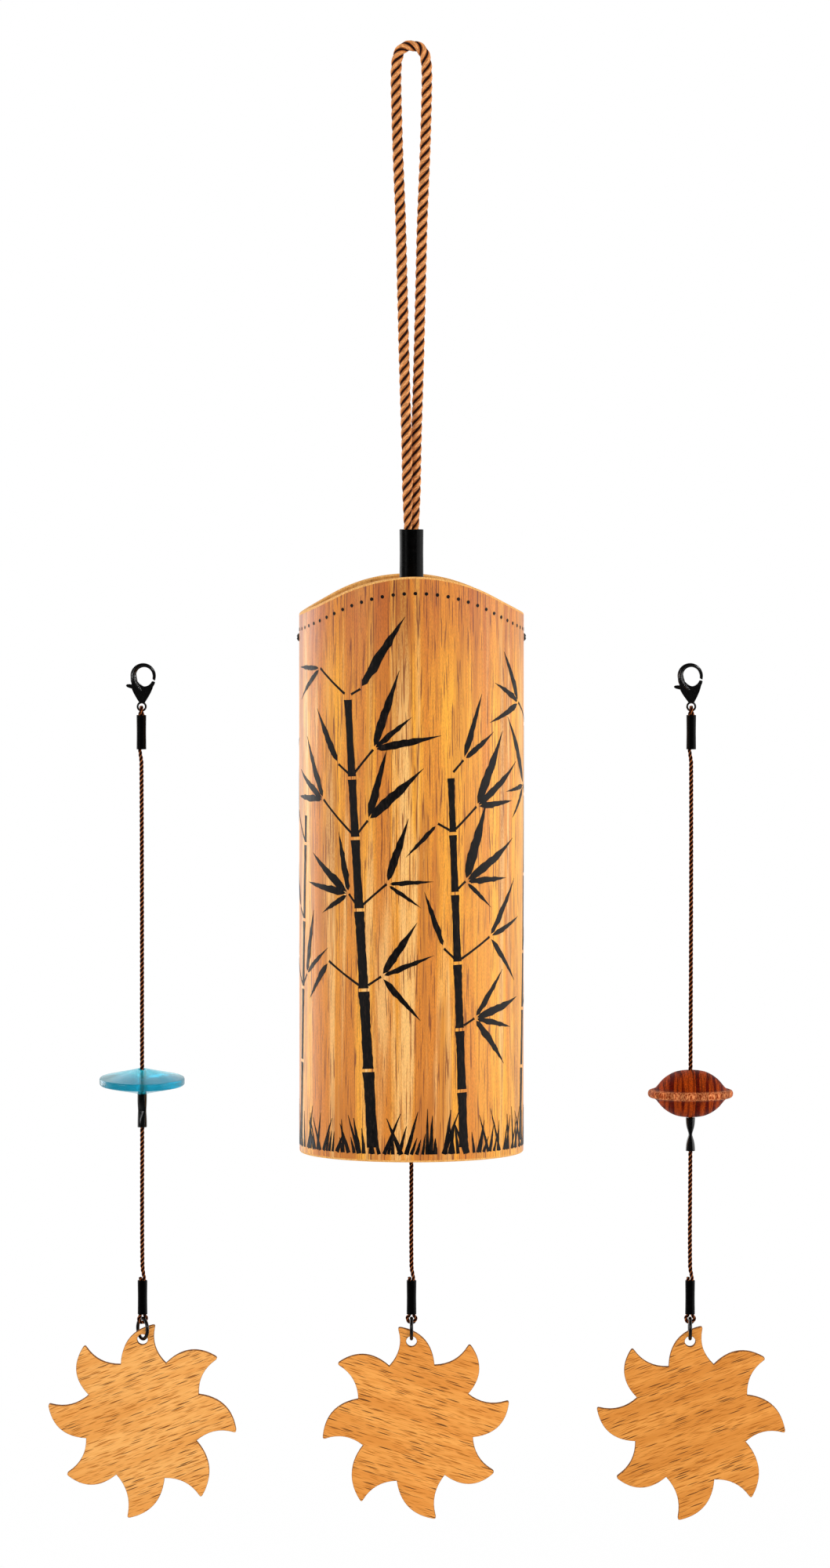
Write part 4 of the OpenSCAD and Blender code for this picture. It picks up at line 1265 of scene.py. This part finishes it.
discShape = {                      # in mm
    "radius": 12.0, "rim": 1.84, "hub": 1.8, "tall": 6.8, "hole": 1.05, "sides": 128,
    "holeRound": 0.25, "hubRound": 0.35, "rimRound": 0.5,
    "lean": {"inner": 0, "blue": 4.5},
}
acrylicLook = {
    "shader": dict(Transmission_Weight=0.9, IOR=1.49, Specular_IOR_Level=0.5),
    "grain": {"haze": dict(size=(1.5, 1.5, 1.5), detail=3), "ripple": dict(size=(3, 3, 0.5))},
    "roughness": (0.16, 0.24), "relief": (0.02, 0.3),
    "inner": {"name": "clearAcrylic", "slot": "smoke_acrylic", "surface": (0.95, 0.96, 0.97),
              "absorb": (0.55, 0.56, 0.58), "density": 120.0},
    "blue": {"name": "blueAcrylic", "slot": "blue_acrylic", "surface": (0.05, 0.82, 0.92),
             "absorb": (0.0, 0.78, 0.85), "density": 240.0},
}
beadShape = {                      # in mm
    "hole": 1.05, "sides": 128, "countersink": 0.3, "step": 0.18,
    "profile": [                   # radius and height of the upper half
        (1.3, 6.58), (2.9, 6.42), (4.6, 5.98), (6.5, 4.98), (8.0, 3.76), (9.2, 2.35), (9.75, 1.72),
        (10.3, 1.36), (10.95, 1.16), (11.5, 0.98), (11.83, 0.68), (11.97, 0.25), (12.0, 0.05),
    ],
}
hardwoodLook = {
    "grain": {
        "band": dict(size=(1.5, 16, 60), detail=3, bend=0.3),
        "line": dict(size=(0.45, 7, 26), detail=3),
        "pore": dict(size=(0.30, 0.4, 0.5)),
        "stroke": dict(size=(0.34, 0.34, 1.3)),
    },
    "base": (0.085, 0.003, 0.0),
    "layers": [("band", 0.43, 0.57, 1.0, (0.33, 0.042, 0.002)),
               ("line", 0.52, 0.66, 0.8, (0.050, 0.006, 0.001))],
    "poreTones": (0.3, 0.7, 0.6, 1.35),
    "beltBase": (0.24, 0.024, 0.002), "beltLayers": [("stroke", 0.36, 0.64, 1.0, (0.92, 0.33, 0.12))],
    "beltTones": (0.40, 0.60, 0.62, 1.05), "beltEdge": (1.0 * mm, 1.4 * mm, 0.8, 0.0),
    "shader": dict(Specular_IOR_Level=0.03), "roughness": (0.48, 0.62), "relief": (0.05, 0.4),
}


def acrylicFinish(p):
    f = Finish(p["name"], **acrylicLook["shader"])
    seen = f.patterns(acrylicLook["grain"])
    f.end("Volume", f.out("ShaderNodeVolumeAbsorption", {"Color": p["absorb"], "Density": p["density"]}))
    roughness = f.sheen(seen["haze"], *acrylicLook["roughness"])
    return f.done(p["surface"], seen["ripple"], *acrylicLook["relief"], Roughness=roughness)


def turnDiscs(p):
    half, rim = p["tall"] / 2, p["rim"] / 2
    upper = [(p["radius"], rim, p["rimRound"]), (p["hub"], half, p["hubRound"]),
             (p["hole"], half, p["holeRound"])]
    lower = [(r, -z, bend) for r, z, bend in reversed(upper)]
    blank, faces = latheRings(rounded(lower + upper, 6), p["sides"])
    for s in p["lean"]:
        look = acrylicLook[s]
        node = s + "_striker"
        verts = placed(blank * mm, boxMiddle(node), turned(p["lean"][s], "X"))
        disc = addPiece(s + "Disc", verts, faces, [acrylicFinish(look)], sharp=50)
        dress(disc, node, node)
    print("discs turned")


def hardwoodFinish(p, middle):
    f = Finish("redHardwood", **p["shader"])
    seen = f.patterns(p["grain"])
    body = f.layers(p["base"], seen, p["layers"])
    body = f.shade(body, seen["pore"], *p["poreTones"])
    belt = f.layers(p["beltBase"], seen, p["beltLayers"])
    belt = f.shade(belt, seen["band"], *p["beltTones"])
    off = f.sums("ABSOLUTE", f.height(middle))
    body = f.mix(f.between(off, *p["beltEdge"]), body, belt)
    relief = f.sums("ADD", seen["line"], seen["pore"])
    return f.done(body, relief, *p["relief"], Roughness=f.sheen(seen["line"], *p["roughness"]))


def turnBead(p):
    middle = boxMiddle("wood_striker")
    top, _ = evenRoute([(r, 0, z) for r, z in p["profile"]], p["step"])
    line = [(p["hole"], p["profile"][0][1] - p["countersink"])] + [(r, z) for r, _, z in top]
    line += [(r, -z) for r, z in reversed(line)]
    verts, faces = latheRings(line, p["sides"])
    verts = placed(verts * mm, middle)
    bead = addPiece("turnedBead", verts, faces, [hardwoodFinish(hardwoodLook, middle)], sharp=60)
    dress(bead, "wood_striker", "wood_striker")
    print("bead turned")


turnDiscs(discShape)
turnBead(beadShape)

# side screws with domed heads and cross recess

screwShape = {                     # in mm
    "head": 1.2, "tall": 0.7, "shank": 0.75, "shankDeep": 2.2, "sides": 48, "rings": 14,
    "slot": 0.2, "arm": 0.72, "deep": 0.34,
}


def screwBlank(p):
    n = p["sides"]
    rings = [(p["shank"], -p["shankDeep"]), (p["shank"], 0.0), (p["head"], 0.0)]
    for i in range(p["rings"]):
        share = 1 - i / p["rings"]
        rings.append((p["head"] * share, p["tall"] * (1 - share ** 3)))
    verts = []
    for r, z in rings:
        for a in turns(n):
            x, y = r * math.cos(a), r * math.sin(a)
            arms = min(abs(x), abs(y)) < p["slot"] and max(abs(x), abs(y)) < p["arm"]
            verts.append((z - p["deep"] if arms and z > 0.1 else z, x, y))
    verts.append((p["tall"] - p["deep"], 0, 0))
    last = (len(rings) - 1) * n
    faces = gridFaces(len(rings), n)
    faces += [(last + k, last + (k + 1) % n, last + n) for k in range(n)]
    faces.append(tuple(reversed(range(n))))
    return np.array(verts), faces


def driveScrews(p):
    material = blackFinish("blackScrew", 0.3, 0.006, level=0.4, size=0.3)
    low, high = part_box("side_screws")
    turn = tubeShape["turn"]
    reach = (high.x - low.x) / 2 / mm / math.cos(math.radians(turn))
    blank, polygons = screwBlank(p)
    blank = blank + (reach - p["tall"], 0, 0)
    verts = np.vstack([placed(blank, (0, 0, boxMiddle("side_screws").z / mm), turned(side + turn))
                       for side in (0, 180)])
    faces = polygons + [tuple(i + len(blank) for i in f) for f in polygons]
    piece = addPiece("sideScrews", verts * mm, faces, [material], sharp=40)
    dress(piece, "resonator", "side_screws")
    print("screws driven")


driveScrews(screwShape)

# bare steel inside the tube: plate, eyes, ring and rods

steelLook = {                      # colour, grain in mm, roughness
    "drawnRod": ((0.60, 0.59, 0.57), (0.15, 0.15, 12), 0.3),
    "plateSteel": ((0.56, 0.55, 0.53), (6, 0.25, 0.25), 0.36),
    "ringSteel": ((0.66, 0.65, 0.63), (0.5, 0.5, 0.5), 0.24),
}
steelNodes = {"base_plate": "plateSteel", "double_eye": "ringSteel", "hanger_ring": "ringSteel"}


def steelFinish(name, body, size, roughness):
    look = {
        "grain": {"drawn": dict(size=size, detail=4, rough=0.6), "stain": dict(size=(9, 9, 9), detail=4)},
        "base": [c * 0.82 for c in body],
        "layers": [("drawn", 0.35, 0.65, 1.0, body), ("stain", 0.5, 0.75, 0.5, (0.30, 0.28, 0.25))],
        "shader": dict(Metallic=1.0),
        "main": "drawn", "roughness": (roughness * 0.75, roughness * 1.4), "relief": (0.02, 0.5),
    }
    return layeredFinish(name, look)


def finishSteel(p):
    made = {name: steelFinish(name, *look) for name, look in p.items()}
    for name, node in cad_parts.items():
        finish = "drawnRod" if name.startswith("chime_rod") else steelNodes.get(name)
        if finish:
            for slot in node.material_slots:
                slot.material = made[finish]
    print("steel finished")


finishSteel(steelLook)
